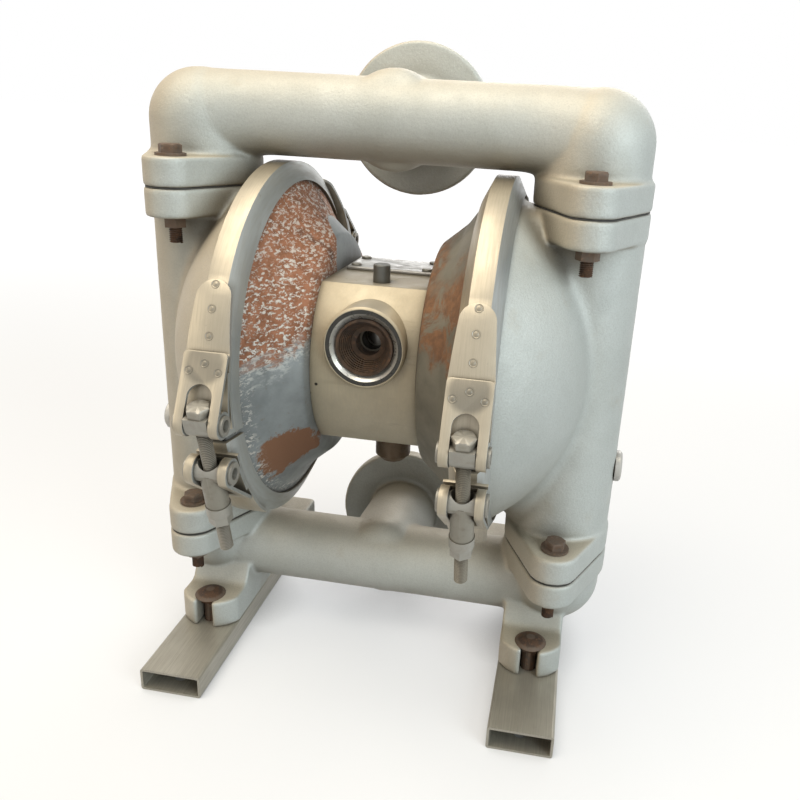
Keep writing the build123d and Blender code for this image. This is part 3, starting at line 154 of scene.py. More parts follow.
# Base colours. Each darkening where other surfaces stand close by, partly soiling and partly
# painted shade, has its reach from the surfaces around it, its colour and its share.
CAST_LIGHT = (0.60, 0.575, 0.505)
CAST_DARK = (0.45, 0.42, 0.345)
CAST_GRAIN = (0.34, 0.33, 0.30)
CAST_WARM = (0.42, 0.35, 0.25)
CAST_SPECK = (0.15, 0.12, 0.09)
CAST_DIRT_AND_SHADE = (30 * MM, (0.17, 0.145, 0.105), 0.75)
# Painted light and shade by where the surface faces, warm light from above and the left, cool light
# from the right front and shade below: direction, from and to how squarely, share, colour.
CAST_PAINTED_LIGHT = (
    ((-0.5, -0.1, 0.85), 0.15, 0.95, 0.55, (0.63, 0.535, 0.385)),
    ((-1, -0.1, 0.1), 0.1, 0.9, 0.6, (0.56, 0.475, 0.355)),
    ((0.8, -0.6, 0.1), 0.0, 1.0, 0.6, (0.53, 0.585, 0.585)),
    ((0, 0, -1), 0.2, 0.95, 0.6, (0.30, 0.265, 0.205)),
)
IRON_PITS = (0.20, 0.165, 0.13)
IRON_DIRT_AND_SHADE = (20 * MM, (0.07, 0.055, 0.045), 0.7)
LEFT_BARE = (0.285, 0.305, 0.305)
LEFT_RUST = ((0.25, 0.105, 0.052), (0.40, 0.18, 0.10), (0.15, 0.075, 0.05))
LEFT_LOW_RUST = (0.255, 0.125, 0.068)
CHALK = (0.56, 0.56, 0.53)
PRIMER = (0.74, 0.70, 0.645)
RIGHT_BARE = (0.22, 0.20, 0.155)
RIGHT_RUST = ((0.16, 0.078, 0.04), (0.27, 0.13, 0.06))
BLOCK_PALE = (0.60, 0.515, 0.365)
BLOCK_STAIN = (0.51, 0.43, 0.30)
BLOCK_LOW = (0.60, 0.56, 0.44)
BLOCK_TOP = (0.31, 0.29, 0.25)
BLOCK_LINES = (0.33, 0.305, 0.25)
BLOCK_STREAK = (0.30, 0.25, 0.18)
BLOCK_SPOT = (0.17, 0.13, 0.09)
BLOCK_DIRT_AND_SHADE = (12 * MM, (0.12, 0.095, 0.06), 0.75)
# black painted as shade in the inlet's bore and in a small hole
HOLE_SHADE = (0.02, 0.017, 0.013)
SHEET = (0.50, 0.435, 0.33)
# painted cool light on the sheet's right-facing sides
SHEET_COOL_LIGHT = (0.40, 0.43, 0.435)
SHEET_SCUFF = (0.27, 0.25, 0.22)
SHEET_DIRT_AND_SHADE = (8 * MM, (0.12, 0.10, 0.075), 0.75)
# painted shade on the straps' plates below the folds
SHEET_FOLD_SHADE = (0.17, 0.155, 0.125)
BAR_LIGHT = (0.45, 0.42, 0.355)
BAR_DARK = (0.345, 0.32, 0.265)
BAR_LINES = (0.22, 0.20, 0.165)
BOLT_RUST = ((0.055, 0.036, 0.026), (0.125, 0.068, 0.04), (0.22, 0.11, 0.055))
BOLT_EDGE = (0.27, 0.22, 0.175)
STEEL = (0.50, 0.475, 0.425)
STEEL_GRIME = (0.20, 0.165, 0.13)
STEEL_EDGE = (0.72, 0.71, 0.68)
STEEL_DIRT_AND_SHADE = (6 * MM, (0.09, 0.075, 0.055), 0.75)
COVER_STEEL = (0.42, 0.41, 0.385)
CLAMP_BOLT_STEEL = (0.29, 0.26, 0.205)
HARDWARE_STEEL = (0.28, 0.26, 0.215)
PLUG_STEEL = (0.36, 0.34, 0.30)
PIN_STEEL = (0.13, 0.13, 0.118)
SILENCER_BROWN = (0.15, 0.10, 0.058)
RUBBER = (0.045, 0.043, 0.040)
RING_FACE = ((0.042, 0.041, 0.037), (0.075, 0.068, 0.058))
RING_CHAMFER = (0.62, 0.60, 0.55)
BUSH_BROWN = ((0.105, 0.062, 0.036), (0.045, 0.028, 0.018), (0.17, 0.085, 0.04))

# How rough the cones are where they are bare and where they are rusty, as greys.
LEFT_ROUGH = ((0.50, 0.50, 0.50), (0.80, 0.80, 0.80))
RIGHT_ROUGH = ((0.52, 0.52, 0.52), (0.78, 0.78, 0.78))

# Patches on the surfaces: centre in the frame, radius and softness, in mm.
NOSE_PATCH = ((-36, 22, 345), 38, 5)
LOW_PATCH = ((-58, -82, 204), 25, 14)
# the inlet's bore and a small hole, both painted black as shade
INLET_BORE = ((2, -56, 297), 15, 2)
BLOCK_HOLE = ((-35.5, -83.1, 263.9), 1.25, 0.25)
# the straps' plates below the folds, where shade is painted
STRAP_FOLD_SHADES = (((-89, -151.3, 296.0), 14, 3), ((89, -151.3, 296.0), 14, 3))
BUSH_PITCH = 1.8 * MM

# Where the surfaces change, from and to along Z, or along X for the left cone's rim.
LEFT_RUST_START = (281 * MM, 297 * MM)
LEFT_CHALK_START = (262 * MM, 287 * MM)
LEFT_FLECKS_THIN = (305 * MM, 370 * MM)
LEFT_RIM = (-68 * MM, -76 * MM)
RIGHT_RUST_START = (290 * MM, 303 * MM)
RIGHT_RUST_END = (372 * MM, 345 * MM)
BLOCK_PALER = (285 * MM, 215 * MM)
# top edge of the painted shade below the straps' folds
FOLD_SHADE_TOP = (303.2 * MM, 302.6 * MM)

# What the node trees take as a worn edge, and as open or crowded.
WORN_POINTINESS = (0.505, 0.56)
CROWDED = (0.95, 0.30)
# range of the floor's painted contact shadow
CROWDED_FLOOR = (0.05, 0.8)
# samples for the darkening where surfaces stand close, which is partly painted shade
GRIME_AND_SHADE_SAMPLES = 8


# Node trees

def scaled(color, factor):
    return tuple(factor * value for value in color)


class Tree:
    "A material's node tree, with short calls for the nodes used here."

    def __init__(self, name):
        self.material = bpy.data.materials.new(name)
        self.material.use_nodes = True
        self.nodes = self.material.node_tree.nodes
        self.links = self.material.node_tree.links
        self.shader = self.nodes["Principled BSDF"]
        self.place = self.nodes.new("ShaderNodeTexCoord").outputs["Object"]

    def put(self, socket, value):
        if isinstance(value, bpy.types.NodeSocket):
            self.links.new(value, socket)
        elif isinstance(value, (tuple, list)) and len(value) == 3 and socket.type == "RGBA":
            socket.default_value = (*value, 1.0)
        else:
            socket.default_value = value

    def stretch(self, scale, turn=(0, 0, 0)):
        "The object's coordinates, scaled apart along each axis and turned in degrees."
        node = self.nodes.new("ShaderNodeMapping")
        self.put(node.inputs["Vector"], self.place)
        node.inputs["Scale"].default_value = scale
        node.inputs["Rotation"].default_value = [math.radians(angle) for angle in turn]
        return node.outputs["Vector"]

    def noise(self, scale, detail=4.0, rough=0.55, place=None, distortion=0.0):
        "Cloudy noise round 0.5, with a scale in clouds per metre."
        node = self.nodes.new("ShaderNodeTexNoise")
        self.put(node.inputs["Vector"], place or self.place)
        node.inputs["Scale"].default_value = scale
        node.inputs["Detail"].default_value = detail
        node.inputs["Roughness"].default_value = rough
        node.inputs["Distortion"].default_value = distortion
        return node.outputs["Fac"]

    def cells(self, scale):
        "The distance to the nearest of many scattered points, with a scale in points per metre."
        node = self.nodes.new("ShaderNodeTexVoronoi")
        self.put(node.inputs["Vector"], self.place)
        node.inputs["Scale"].default_value = scale
        return node.outputs["Distance"]

    def axis(self, name):
        node = self.nodes.new("ShaderNodeSeparateXYZ")
        self.put(node.inputs[0], self.place)
        return node.outputs[name]

    def math(self, operation, a, b=0.0):
        node = self.nodes.new("ShaderNodeMath")
        node.operation = operation
        for socket, value in zip(node.inputs, (a, b)):
            self.put(socket, value)
        return node.outputs[0]

    def times(self, a, b):
        return self.math("MULTIPLY", a, b)

    def fade(self, value, low, high, start=0.0, stop=1.0):
        "Maps low..high to start..stop, clamped and smooth."
        node = self.nodes.new("ShaderNodeMapRange")
        node.interpolation_type = "SMOOTHSTEP"
        for key, number in (("Value", value), ("From Min", low), ("From Max", high),
                            ("To Min", start), ("To Max", stop)):
            self.put(node.inputs[key], number)
        return node.outputs["Result"]

    def blend(self, fac, a, b):
        node = self.nodes.new("ShaderNodeMix")
        node.data_type = "RGBA"
        self.put(node.inputs["Factor"], fac)
        self.put(node.inputs["A"], a)
        self.put(node.inputs["B"], b)
        return node.outputs["Result"]

    def bump(self, height, distance, strength=1.0, under=None):
        node = self.nodes.new("ShaderNodeBump")
        self.put(node.inputs["Height"], height)
        node.inputs["Distance"].default_value = distance
        self.put(node.inputs["Strength"], strength)
        if under:
            self.put(node.inputs["Normal"], under)
        return node.outputs["Normal"]

    def worn(self, share):
        "Where edges stand out, from 0 to share."
        node = self.nodes.new("ShaderNodeNewGeometry")
        return self.fade(node.outputs["Pointiness"], *WORN_POINTINESS, 0.0, share)

    def grime_and_shade(self, color, reach, dirt_and_shade, share):
        """The colour, darkened where other surfaces stand close by: partly soiling and partly
        painted shade.
        """
        node = self.nodes.new("ShaderNodeAmbientOcclusion")
        node.samples = GRIME_AND_SHADE_SAMPLES
        node.inputs["Distance"].default_value = reach
        near = self.fade(node.outputs["AO"], *CROWDED, 0.0, share)
        return self.blend(near, color, dirt_and_shade)

    def facing(self, way, low, high, share=1.0):
        "How squarely the surface faces a direction, with low..high mapped to 0..share."
        geometry = self.nodes.new("ShaderNodeNewGeometry")
        dot = self.nodes.new("ShaderNodeVectorMath")
        dot.operation = "DOT_PRODUCT"
        self.put(dot.inputs[0], geometry.outputs["Normal"])
        dot.inputs[1].default_value = Vector(way).normalized()
        return self.fade(dot.outputs["Value"], low, high, 0.0, share)

    def ball(self, centre, radius, soft):
        "1 inside a ball round a point of the object, 0 outside, with sizes in mm."
        node = self.nodes.new("ShaderNodeVectorMath")
        node.operation = "DISTANCE"
        self.put(node.inputs[0], self.place)
        node.inputs[1].default_value = [value * MM for value in centre]
        return self.fade(node.outputs["Value"], (radius + soft) * MM, (radius - soft) * MM)

    def finish(self, color, rough, metallic, normal=None):
        self.put(self.shader.inputs["Base Color"], color)
        self.put(self.shader.inputs["Roughness"], rough)
        self.shader.inputs["Metallic"].default_value = metallic
        if normal:
            self.put(self.shader.inputs["Normal"], normal)
        return self.material


def cast_metal(name):
    """Blasted casting: fine grain and small pits, with painted light, warm above and on the left
    and cool on the right, and painted shade below.
    """
    t = Tree(name)
    stain = t.fade(t.noise(9.0, 5.0, 0.6, distortion=0.4), 0.34, 0.70)
    fine = t.noise(900.0, 3.0, 0.6)
    color = t.blend(stain, CAST_LIGHT, CAST_DARK)
    # painted light and shade, by the way each surface faces
    for way, low, high, share, tint in CAST_PAINTED_LIGHT:
        color = t.blend(t.facing(way, low, high, share), color, tint)
    color = t.blend(t.fade(fine, 0.35, 0.75, 0.0, 0.30), color, CAST_GRAIN)
    warm = t.fade(t.noise(23.0, 6.0, 0.65), 0.58, 0.76, 0.0, 0.30)
    color = t.blend(warm, color, CAST_WARM)
    speck = t.fade(t.cells(310.0), 0.10, 0.0, 0.0, 0.45)
    speck = t.times(speck, t.fade(t.noise(35.0), 0.52, 0.70))
    color = t.blend(speck, color, CAST_SPECK)
    # darkened where other surfaces stand close: soiling and painted shade
    color = t.grime_and_shade(color, *CAST_DIRT_AND_SHADE)
    rough = t.fade(t.noise(60.0, 4.0), 0.3, 0.7, 0.50, 0.62)
    coarse = t.bump(t.noise(420.0, 5.0, 0.65), 0.42 * MM)
    normal = t.bump(fine, 0.12 * MM, under=coarse)
    return t.finish(color, rough, 0.25, normal)


def cone_base(t, bare):
    "The cones' iron: bare grey metal, mottled, with small pits."
    mottled = t.fade(t.noise(30.0, 5.0, 0.6), 0.36, 0.66)
    metal = t.blend(mottled, bare, scaled(bare, 0.72))
    return t.blend(t.fade(t.noise(170.0, 5.0, 0.7), 0.58, 0.72, 0.0, 0.6), metal, IRON_PITS)


def left_cone(name):
    """Brick red rust with flakes of pale primer above, bare and bluish metal below and near the
    block, and one rusty patch low at the front."""
    t = Tree(name)
    drift = t.fade(t.noise(17.0, 6.0, 0.65, distortion=0.5), 0.30, 0.70, -26 * MM, 26 * MM)
    height = t.math("ADD", t.axis("Z"), drift)
    nose = t.math("ADD", t.ball(*NOSE_PATCH), t.times(drift, 12.0))
    off_nose = t.fade(nose, 0.35, 0.65, 1.0, 0.0)
    rusty = t.times(t.fade(height, *LEFT_RUST_START), off_nose)
    ragged = t.fade(t.noise(34.0, 6.0, 0.7), 0.3, 0.7, -0.35, 0.35)
    low = t.fade(t.math("ADD", t.ball(*LOW_PATCH), ragged), 0.42, 0.58)
    rust = t.blend(t.fade(t.noise(120.0, 6.0, 0.7), 0.35, 0.65), *LEFT_RUST[:2])
    rust = t.blend(t.fade(t.noise(38.0, 4.0), 0.58, 0.72), rust, LEFT_RUST[2])
    metal = cone_base(t, LEFT_BARE)
    pale = t.noise(290.0, 5.0, 0.72, place=t.stretch((1.0, 0.7, 1.5), (0, 20, 0)), distortion=0.4)
    chalk = t.times(t.fade(height, *LEFT_CHALK_START), off_nose)
    metal = t.blend(t.times(t.fade(pale, 0.44, 0.56, 0.0, 0.8), chalk), metal, CHALK)
    color = t.blend(rusty, metal, rust)
    color = t.blend(low, color, LEFT_LOW_RUST)
    share = t.fade(height, *LEFT_FLECKS_THIN, 1.0, 0.72)
    fleck = t.times(t.fade(pale, 0.52, 0.56), t.times(rusty, share))
    rim = t.times(t.fade(pale, 0.54, 0.58), t.fade(t.axis("X"), *LEFT_RIM))
    fleck = t.math("MAXIMUM", fleck, rim)
    color = t.blend(fleck, color, PRIMER)
    # darkened where other surfaces stand close: soiling and painted shade
    color = t.grime_and_shade(color, *IRON_DIRT_AND_SHADE)
    grip = t.math("MAXIMUM", rusty, low)
    rough = t.blend(grip, *LEFT_ROUGH)
    pits = t.bump(t.noise(260.0, 6.0, 0.7), 0.4 * MM, t.fade(grip, 0.0, 1.0, 0.35, 1.0))
    normal = t.bump(fleck, 0.18 * MM, under=pits)
    return t.finish(color, rough, 0.18, normal)


def right_cone(name):
    "Dull grey-brown metal with orange-brown rust near the top."
    t = Tree(name)
    drift = t.fade(t.noise(20.0, 5.0, 0.6), 0.3, 0.7, -20 * MM, 20 * MM)
    height = t.math("ADD", t.axis("Z"), drift)
    band = t.times(t.fade(height, *RIGHT_RUST_START), t.fade(height, *RIGHT_RUST_END))
    patch = t.fade(t.noise(42.0, 6.0, 0.7, distortion=0.6), 0.38, 0.50)
    rusty = t.times(band, patch)
    rust = t.blend(t.fade(t.noise(130.0, 6.0, 0.7), 0.35, 0.65), *RIGHT_RUST)
    metal = cone_base(t, RIGHT_BARE)
    color = t.blend(t.times(rusty, 0.92), metal, rust)
    # darkened where other surfaces stand close: soiling and painted shade
    color = t.grime_and_shade(color, *IRON_DIRT_AND_SHADE)
    rough = t.blend(rusty, *RIGHT_ROUGH)
    pits = t.bump(t.noise(260.0, 6.0, 0.7), 0.4 * MM, t.fade(rusty, 0.0, 1.0, 0.4, 1.0))
    return t.finish(color, rough, 0.2, pits)


def machined(name):
    """The block: pale warm metal, finely faced, with streaks and a few spots, and painted black
    shade in the inlet's bore and for one small hole that is only painted.
    """
    t = Tree(name)
    lines = t.noise(700.0, 3.0, 0.6, place=t.stretch((1.0, 0.9, 0.06)))
    stain = t.fade(t.noise(20.0, 6.0, 0.65), 0.38, 0.72)
    color = t.blend(stain, BLOCK_PALE, BLOCK_STAIN)
    color = t.blend(t.fade(t.axis("Z"), *BLOCK_PALER, 0.0, 0.45), color, BLOCK_LOW)
    color = t.blend(t.facing((0, 0, 1), 0.8, 0.97, 0.6), color, BLOCK_TOP)
    color = t.blend(t.fade(lines, 0.3, 0.7, 0.0, 0.14), color, BLOCK_LINES)
    streak = t.noise(38.0, 5.0, 0.7, place=t.stretch((0.35, 1.0, 2.6)))
    color = t.blend(t.fade(streak, 0.60, 0.72, 0.0, 0.35), color, BLOCK_STREAK)
    spots = t.times(t.fade(t.cells(120.0), 0.15, 0.04), t.fade(t.noise(28.0), 0.56, 0.68))
    color = t.blend(t.times(spots, 0.6), color, BLOCK_SPOT)
    # painted shade: black in the inlet's bore and in a small hole that is not cut
    for hole in (INLET_BORE, BLOCK_HOLE):
        color = t.blend(t.ball(*hole), color, HOLE_SHADE)
    # darkened where other surfaces stand close: soiling and painted shade
    color = t.grime_and_shade(color, *BLOCK_DIRT_AND_SHADE)
    rough = t.fade(t.noise(90.0), 0.3, 0.7, 0.42, 0.56)
    return t.finish(color, rough, 0.25, t.bump(lines, 0.06 * MM))


def satin_sheet(name, shade=1.0):
    """Rolled stainless sheet: long faint streaks, small dents, scuffs, painted cool light where it
    faces right, and painted shade on the plates below the folds.
    """
    t = Tree(name)
    lines = t.noise(1100.0, 2.0, 0.5, place=t.stretch((1.0, 0.05, 0.05)))
    cloud = t.fade(t.noise(16.0, 4.0), 0.35, 0.70)
    light = scaled(SHEET, shade)
    color = t.blend(cloud, light, scaled(light, 0.88))
    # painted cool light on what faces right
    cool = t.facing((1, -0.2, -0.1), 0.25, 0.75, 0.85)
    color = t.blend(cool, color, scaled(SHEET_COOL_LIGHT, shade))
    color = t.blend(t.fade(lines, 0.35, 0.7, 0.0, 0.22), color, scaled(light, 0.6))
    scuff = t.noise(300.0, 4.0, 0.7, place=t.stretch((0.4, 1.0, 0.7), (20, 30, 0)))
    color = t.blend(t.fade(scuff, 0.66, 0.72, 0.0, 0.5), color, SHEET_SCUFF)
    # darkened where other surfaces stand close: soiling and painted shade
    color = t.grime_and_shade(color, *SHEET_DIRT_AND_SHADE)
    rough = t.math("ADD", t.times(lines, 0.6), t.times(t.noise(45.0), 0.4))
    rough = t.fade(rough, 0.3, 0.7, 0.34, 0.48)
    # painted shade on the plates below the straps' folds
    for fold_shade in STRAP_FOLD_SHADES:
        below = t.times(t.ball(*fold_shade), t.fade(t.axis("Z"), *FOLD_SHADE_TOP))
        color = t.blend(t.times(below, 0.75), color, SHEET_FOLD_SHADE)
    dents = t.bump(t.noise(60.0, 2.0), 0.3 * MM)
    return t.finish(color, rough, 0.55, t.bump(lines, 0.02 * MM, under=dents))


def bar_steel(name):
    "Foot bars: brushed along their length, with a warm tint and smudges."
    t = Tree(name)
    lines = t.noise(900.0, 3.0, 0.6, place=t.stretch((1.0, 0.03, 1.0)))
    cloud = t.fade(t.noise(13.0, 5.0, 0.6), 0.35, 0.70)
    color = t.blend(cloud, BAR_LIGHT, BAR_DARK)
    color = t.blend(t.fade(lines, 0.35, 0.7, 0.0, 0.35), color, BAR_LINES)
    rough = t.fade(lines, 0.3, 0.7, 0.36, 0.50)
    return t.finish(color, rough, 0.5, t.bump(lines, 0.03 * MM))


def rusty_steel(name):
    "Bolts and nuts with a dark brown rust skin, redder in spots and lighter on the edges."
    t = Tree(name)
    patch = t.noise(140.0, 6.0, 0.65)
    color = t.blend(t.fade(patch, 0.35, 0.65), *BOLT_RUST[:2])
    color = t.blend(t.fade(t.noise(420.0, 4.0, 0.7), 0.56, 0.66, 0.0, 0.7), color, BOLT_RUST[2])
    color = t.blend(t.worn(0.35), color, BOLT_EDGE)
    rough = t.fade(patch, 0.3, 0.7, 0.55, 0.85)
    return t.finish(color, rough, 0.45, t.bump(t.noise(700.0, 5.0, 0.7), 0.22 * MM))


def plain_steel(name, color=STEEL, rough=(0.28, 0.42), grime_and_shade=0.35, metallic=0.6, worn=0.4):
    """Turned or plated steel with soiled patches and edges worn bright."""
    t = Tree(name)
    cloud = t.fade(t.noise(150.0, 5.0, 0.6), 0.50, 0.72, 0.0, grime_and_shade)
    tint = t.blend(cloud, color, STEEL_GRIME)
    tint = t.blend(t.worn(worn), tint, STEEL_EDGE)
    # darkened where other surfaces stand close: soiling and painted shade
    tint = t.grime_and_shade(tint, *STEEL_DIRT_AND_SHADE)
    shine = t.fade(t.noise(220.0, 4.0), 0.3, 0.7, *rough)
    return t.finish(tint, shine, metallic, t.bump(t.noise(600.0, 3.0), 0.06 * MM))


def rubber(name):
    t = Tree(name)
    tint = t.blend(t.fade(t.noise(60.0, 5.0), 0.4, 0.7), RUBBER, scaled(RUBBER, 1.9))
    rough = t.fade(t.noise(300.0), 0.3, 0.7, 0.55, 0.75)
    return t.finish(tint, rough, 0.0, t.bump(t.noise(500.0, 4.0), 0.08 * MM))


def inlet_steel(name):
    "The inlet ring: a dark flat face and a bright chamfer inside it."
    t = Tree(name)
    face = t.facing((0, -1, 0), 0.90, 0.98)
    tint = t.blend(t.fade(t.noise(160.0, 5.0), 0.4, 0.7, 0.0, 0.5), *RING_FACE)
    color = t.blend(face, RING_CHAMFER, tint)
    rough = t.fade(t.noise(220.0, 4.0), 0.3, 0.7, 0.26, 0.40)
    return t.finish(color, rough, 0.6, t.bump(t.noise(600.0, 3.0), 0.06 * MM))


def rusty_bush(name):
    "Dark rust brown iron, rough, with a thread cut in what faces across its axis."
    t = Tree(name)
    tint = t.blend(t.fade(t.noise(90.0, 6.0, 0.65), 0.35, 0.68), *BUSH_BROWN[:2])
    tint = t.blend(t.fade(t.noise(330.0, 4.0), 0.56, 0.66, 0.0, 0.7), tint, BUSH_BROWN[2])
    wave = t.math("SINE", t.times(t.axis("Y"), 2 * math.pi / BUSH_PITCH))
    pits = t.bump(t.noise(480.0, 5.0, 0.7), 0.25 * MM)
    rough = t.fade(t.noise(120.0), 0.3, 0.7, 0.5, 0.75)
    return t.finish(tint, rough, 0.3, t.bump(wave, 0.6 * MM, under=pits))


# Meshes

def copy_of(node, name):
    "A separate object with a joined-up copy of a CAD node's mesh."
    obj = bpy.data.objects.new(name, NODES[node].data.copy())
    bpy.context.scene.collection.objects.link(obj)
    edit = bmesh.new()
    edit.from_mesh(obj.data)
    bmesh.ops.remove_doubles(edit, verts=edit.verts, dist=WELD)
    edit.to_mesh(obj.data)
    edit.free()
    return obj


def bake_modifiers(obj):
    "Turns the object's modifiers into its mesh."
    graph = bpy.context.evaluated_depsgraph_get()
    mesh = bpy.data.meshes.new_from_object(obj.evaluated_get(graph))
    obj.modifiers.clear()
    obj.data = mesh


def smooth_shade(mesh, degrees=SHARP_ANGLE):
    "Smooth shading, with edges sharper than the angle left sharp."
    mesh.shade_smooth()
    mesh.set_sharp_from_angle(angle=math.radians(degrees))


def dress(obj, material, slot, *nodes, body=ROOT):
    "Gives a piece its material and body, and lets it stand for CAD nodes."
    obj.data.materials.clear()
    obj.data.materials.append(material)
    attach(obj, body)
    if nodes:
        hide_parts(*nodes)


def port_swelling(places, pipe_z):
    "Raises the pipe round the front of the port's neck, so that the neck runs into it softly."
    middle = np.array([0, 0, pipe_z], np.float32)
    rel = places - middle
    girth = np.hypot(rel[:, 1], rel[:, 2])
    size = np.linalg.norm(rel, axis=1)
    dome = NECK_R - SWELL_INSET
    steep = np.degrees(np.arctan2(np.abs(rel[:, 2]), -rel[:, 1]))
    start, run = (np.where(rel[:, 2] > 0, *pair) for pair in zip(SWELL_ABOVE, SWELL_BELOW))
    share = np.clip((steep - start) / run, 0.0, 1.0)
    share = share * share * (3.0 - 2.0 * share)
    outside = (girth > PIPE_R - SWELL_MARGIN) & (rel[:, 1] < SWELL_MARGIN) & (size < dome)
    lift = np.where(outside, 1.0 + share * (dome / np.maximum(size, MM) - 1.0), 1.0)
    return (rel * lift[:, None] + middle).astype(np.float32)


def mesh_array(mesh, key):
    "The mesh's places or normals, one row for each vertex."
    values = np.empty(len(mesh.vertices) * 3, np.float32)
    mesh.vertices.foreach_get(key, values)
    return values.reshape(-1, 3)


def cast_skin(node, seed, rounds=CAST_ROUNDS, pipe_z=None):
    "A casting's mesh with soft corners and a slightly uneven skin."
    obj = copy_of(node, node + "_cast")
    remesh = obj.modifiers.new("remesh", "REMESH")
    remesh.mode = "VOXEL"
    remesh.voxel_size = CAST_VOXEL
    if pipe_z:
        bake_modifiers(obj)
        places = port_swelling(mesh_array(obj.data, "co"), pipe_z)
        obj.data.vertices.foreach_set("co", places.ravel())
    soften = obj.modifiers.new("soften", "SMOOTH")
    soften.factor = 0.5
    soften.iterations = rounds
    bake_modifiers(obj)
    mesh = obj.data
    places = mesh_array(mesh, "co")
    offset = Vector((seed, 2 * seed, 3 * seed))
    lift = np.array([noise.noise(Vector(p) * LUMPS_SCALE + offset)
                     + RIPPLE_SHARE * noise.noise(Vector(p) * RIPPLE_SCALE + offset)
                     for p in places], np.float32)
    places = places + mesh_array(mesh, "normal") * (lift * CAST_LUMPS)[:, None]
    mesh.vertices.foreach_set("co", places.ravel())
    mesh.update()
    mesh.shade_smooth()
    return obj


def broken_edges(node, width):
    "A machined or sheet piece with its flat faces joined up and its sharp edges broken."
    obj = copy_of(node, node + "_edged")
    edit = bmesh.new()
    edit.from_mesh(obj.data)
    bmesh.ops.dissolve_limit(edit, angle_limit=math.radians(FLAT_ANGLE), verts=edit.verts,
                             edges=edit.edges)
    edit.to_mesh(obj.data)
    edit.free()
    bevel = obj.modifiers.new("bevel", "BEVEL")
    bevel.width = width
    bevel.segments = BEVEL_SEGMENTS
    bevel.limit_method = "ANGLE"
    bevel.angle_limit = math.radians(BEVEL_ANGLE)
    bevel.use_clamp_overlap = True
    bake_modifiers(obj)
    smooth_shade(obj.data)
    return obj


class Mesh:
    "Vertices and faces gathered into one object."

    def __init__(self):
        self.points = []
        self.faces = []

    def add(self, points, faces, place):
        start = len(self.points)
        self.points.extend(place @ Vector(p) for p in points)
        self.faces.extend([start + i for i in face] for face in faces)

    def lathe(self, outline, place, steps=LATHE_STEPS):
        "Turns an outline of (radius, z) points; radius 0 closes an end."
        points = []
        rows = []
        for radius, z in outline:
            if radius < 1e-9:
                rows.append([len(points)] * steps)
                points.append((0, 0, z))
                continue
            rows.append(list(range(len(points), len(points) + steps)))
            for step in range(steps):
                angle = 2 * math.pi * step / steps
                points.append((radius * math.cos(angle), radius * math.sin(angle), z))
        faces = []
        for below, above in zip(rows, rows[1:]):
            for step in range(steps):
                after = (step + 1) % steps
                face = list(dict.fromkeys([below[step], below[after], above[after], above[step]]))
                if len(face) > 2:
                    faces.append(face)
        self.add(points, faces, place)

    def thread(self, low, high, place):
        "A bolt's threaded part from low to high, with its ends closed."
        root = BOLT_R - THREAD_DEPTH * BOLT_PITCH
        rows = int(((high - low) / BOLT_PITCH + 1.0) * THREAD_STEPS)
        profile = ((root, 0.0), (root, 0.15), (BOLT_R, 0.45), (BOLT_R, 0.62))
        points = []
        for row in range(rows + 1):
            angle = 2 * math.pi * row / THREAD_STEPS
            z = low - 0.5 * BOLT_PITCH + BOLT_PITCH * row / THREAD_STEPS
            for r, shift in profile:
                level = min(max(z + shift * BOLT_PITCH, low), high)
                points.append((r * math.cos(angle), r * math.sin(angle), level))
        faces = []
        for row in range(rows):
            here, ahead = 4 * row, 4 * (row + 1)
            for k in range(3):
                faces.append([here + k, ahead + k, ahead + k + 1, here + k + 1])
            if row + THREAD_STEPS + 1 <= rows:
                over = 4 * (row + THREAD_STEPS)
                faces.append([here + 3, ahead + 3, over + 4, over])
        self.add(points, faces, place)
        for z, side in ((low, 1), (high, -1)):
            cap = THREAD_CAP * side
            tip = BOLT_R - THREAD_TIP * BOLT_PITCH
            outline = [(0, z + cap), (tip, z + cap), (root, z + 2 * cap)]
            self.lathe(outline, place, THREAD_STEPS)

    def head(self, low, place):
        "A hexagonal head above low, with its corners turned off at the top."
        high = low + HEAD_T
        corner = HEX_FLATS / math.sqrt(3)
        drop = HEAD_CHAMFER * HEAD_T + 0.001 * HEX_FLATS
        levels = ((low, corner), (high - drop - 0.35 * HEAD_T, corner), (high - drop, corner),
                  (high, HEX_FLATS * HEAD_FACE))
        steps = HEAD_STEPS
        points = []
        for z, limit in levels:
            for step in range(steps):
                angle = 2 * math.pi * step / steps
                sector = (angle + math.pi / 6) % (math.pi / 3) - math.pi / 6
                radius = min((HEX_FLATS / 2) / math.cos(sector), limit)
                points.append((radius * math.cos(angle), radius * math.sin(angle), z))
        base, top = len(points), len(points) - steps
        faces = []
        for start in range(0, top, steps):
            for step in range(steps):
                a, b = start + step, start + (step + 1) % steps
                faces.append([a, b, b + steps, a + steps])
        points += [(0, 0, low), (0, 0, high + HEAD_CROWN)]
        for step in range(steps):
            after = (step + 1) % steps
            faces.append([after, step, base])
            faces.append([top + step, top + after, base + 1])
        self.add(points, faces, place)

    def build(self, name):
        data = bpy.data.meshes.new(name)
        data.from_pydata(self.points, [], self.faces)
        data.validate()
        obj = bpy.data.objects.new(name, data)
        bpy.context.scene.collection.objects.link(obj)
        edit = bmesh.new()
        edit.from_mesh(data)
        bmesh.ops.remove_doubles(edit, verts=edit.verts, dist=1e-7)
        bmesh.ops.recalc_face_normals(edit, faces=edit.faces)
        edit.to_mesh(data)
        edit.free()
        smooth_shade(data)
        return obj


def closures():
    "The clamp closures' frames: Z up the bolt, Y inwards at the front and outwards at the back."
    foot = CLOSURE_R * Vector((0, math.cos(CLOSURE_TILT), math.sin(CLOSURE_TILT)))
    tilt = Matrix.Rotation(CLOSURE_TILT, 4, "X")
    return [Matrix.Translation(Vector((x, 0, SHAFT_Z)) + side * foot) @ tilt
            for side in (-1, 1) for x in (-RING_X, RING_X)]


# The pump's pieces

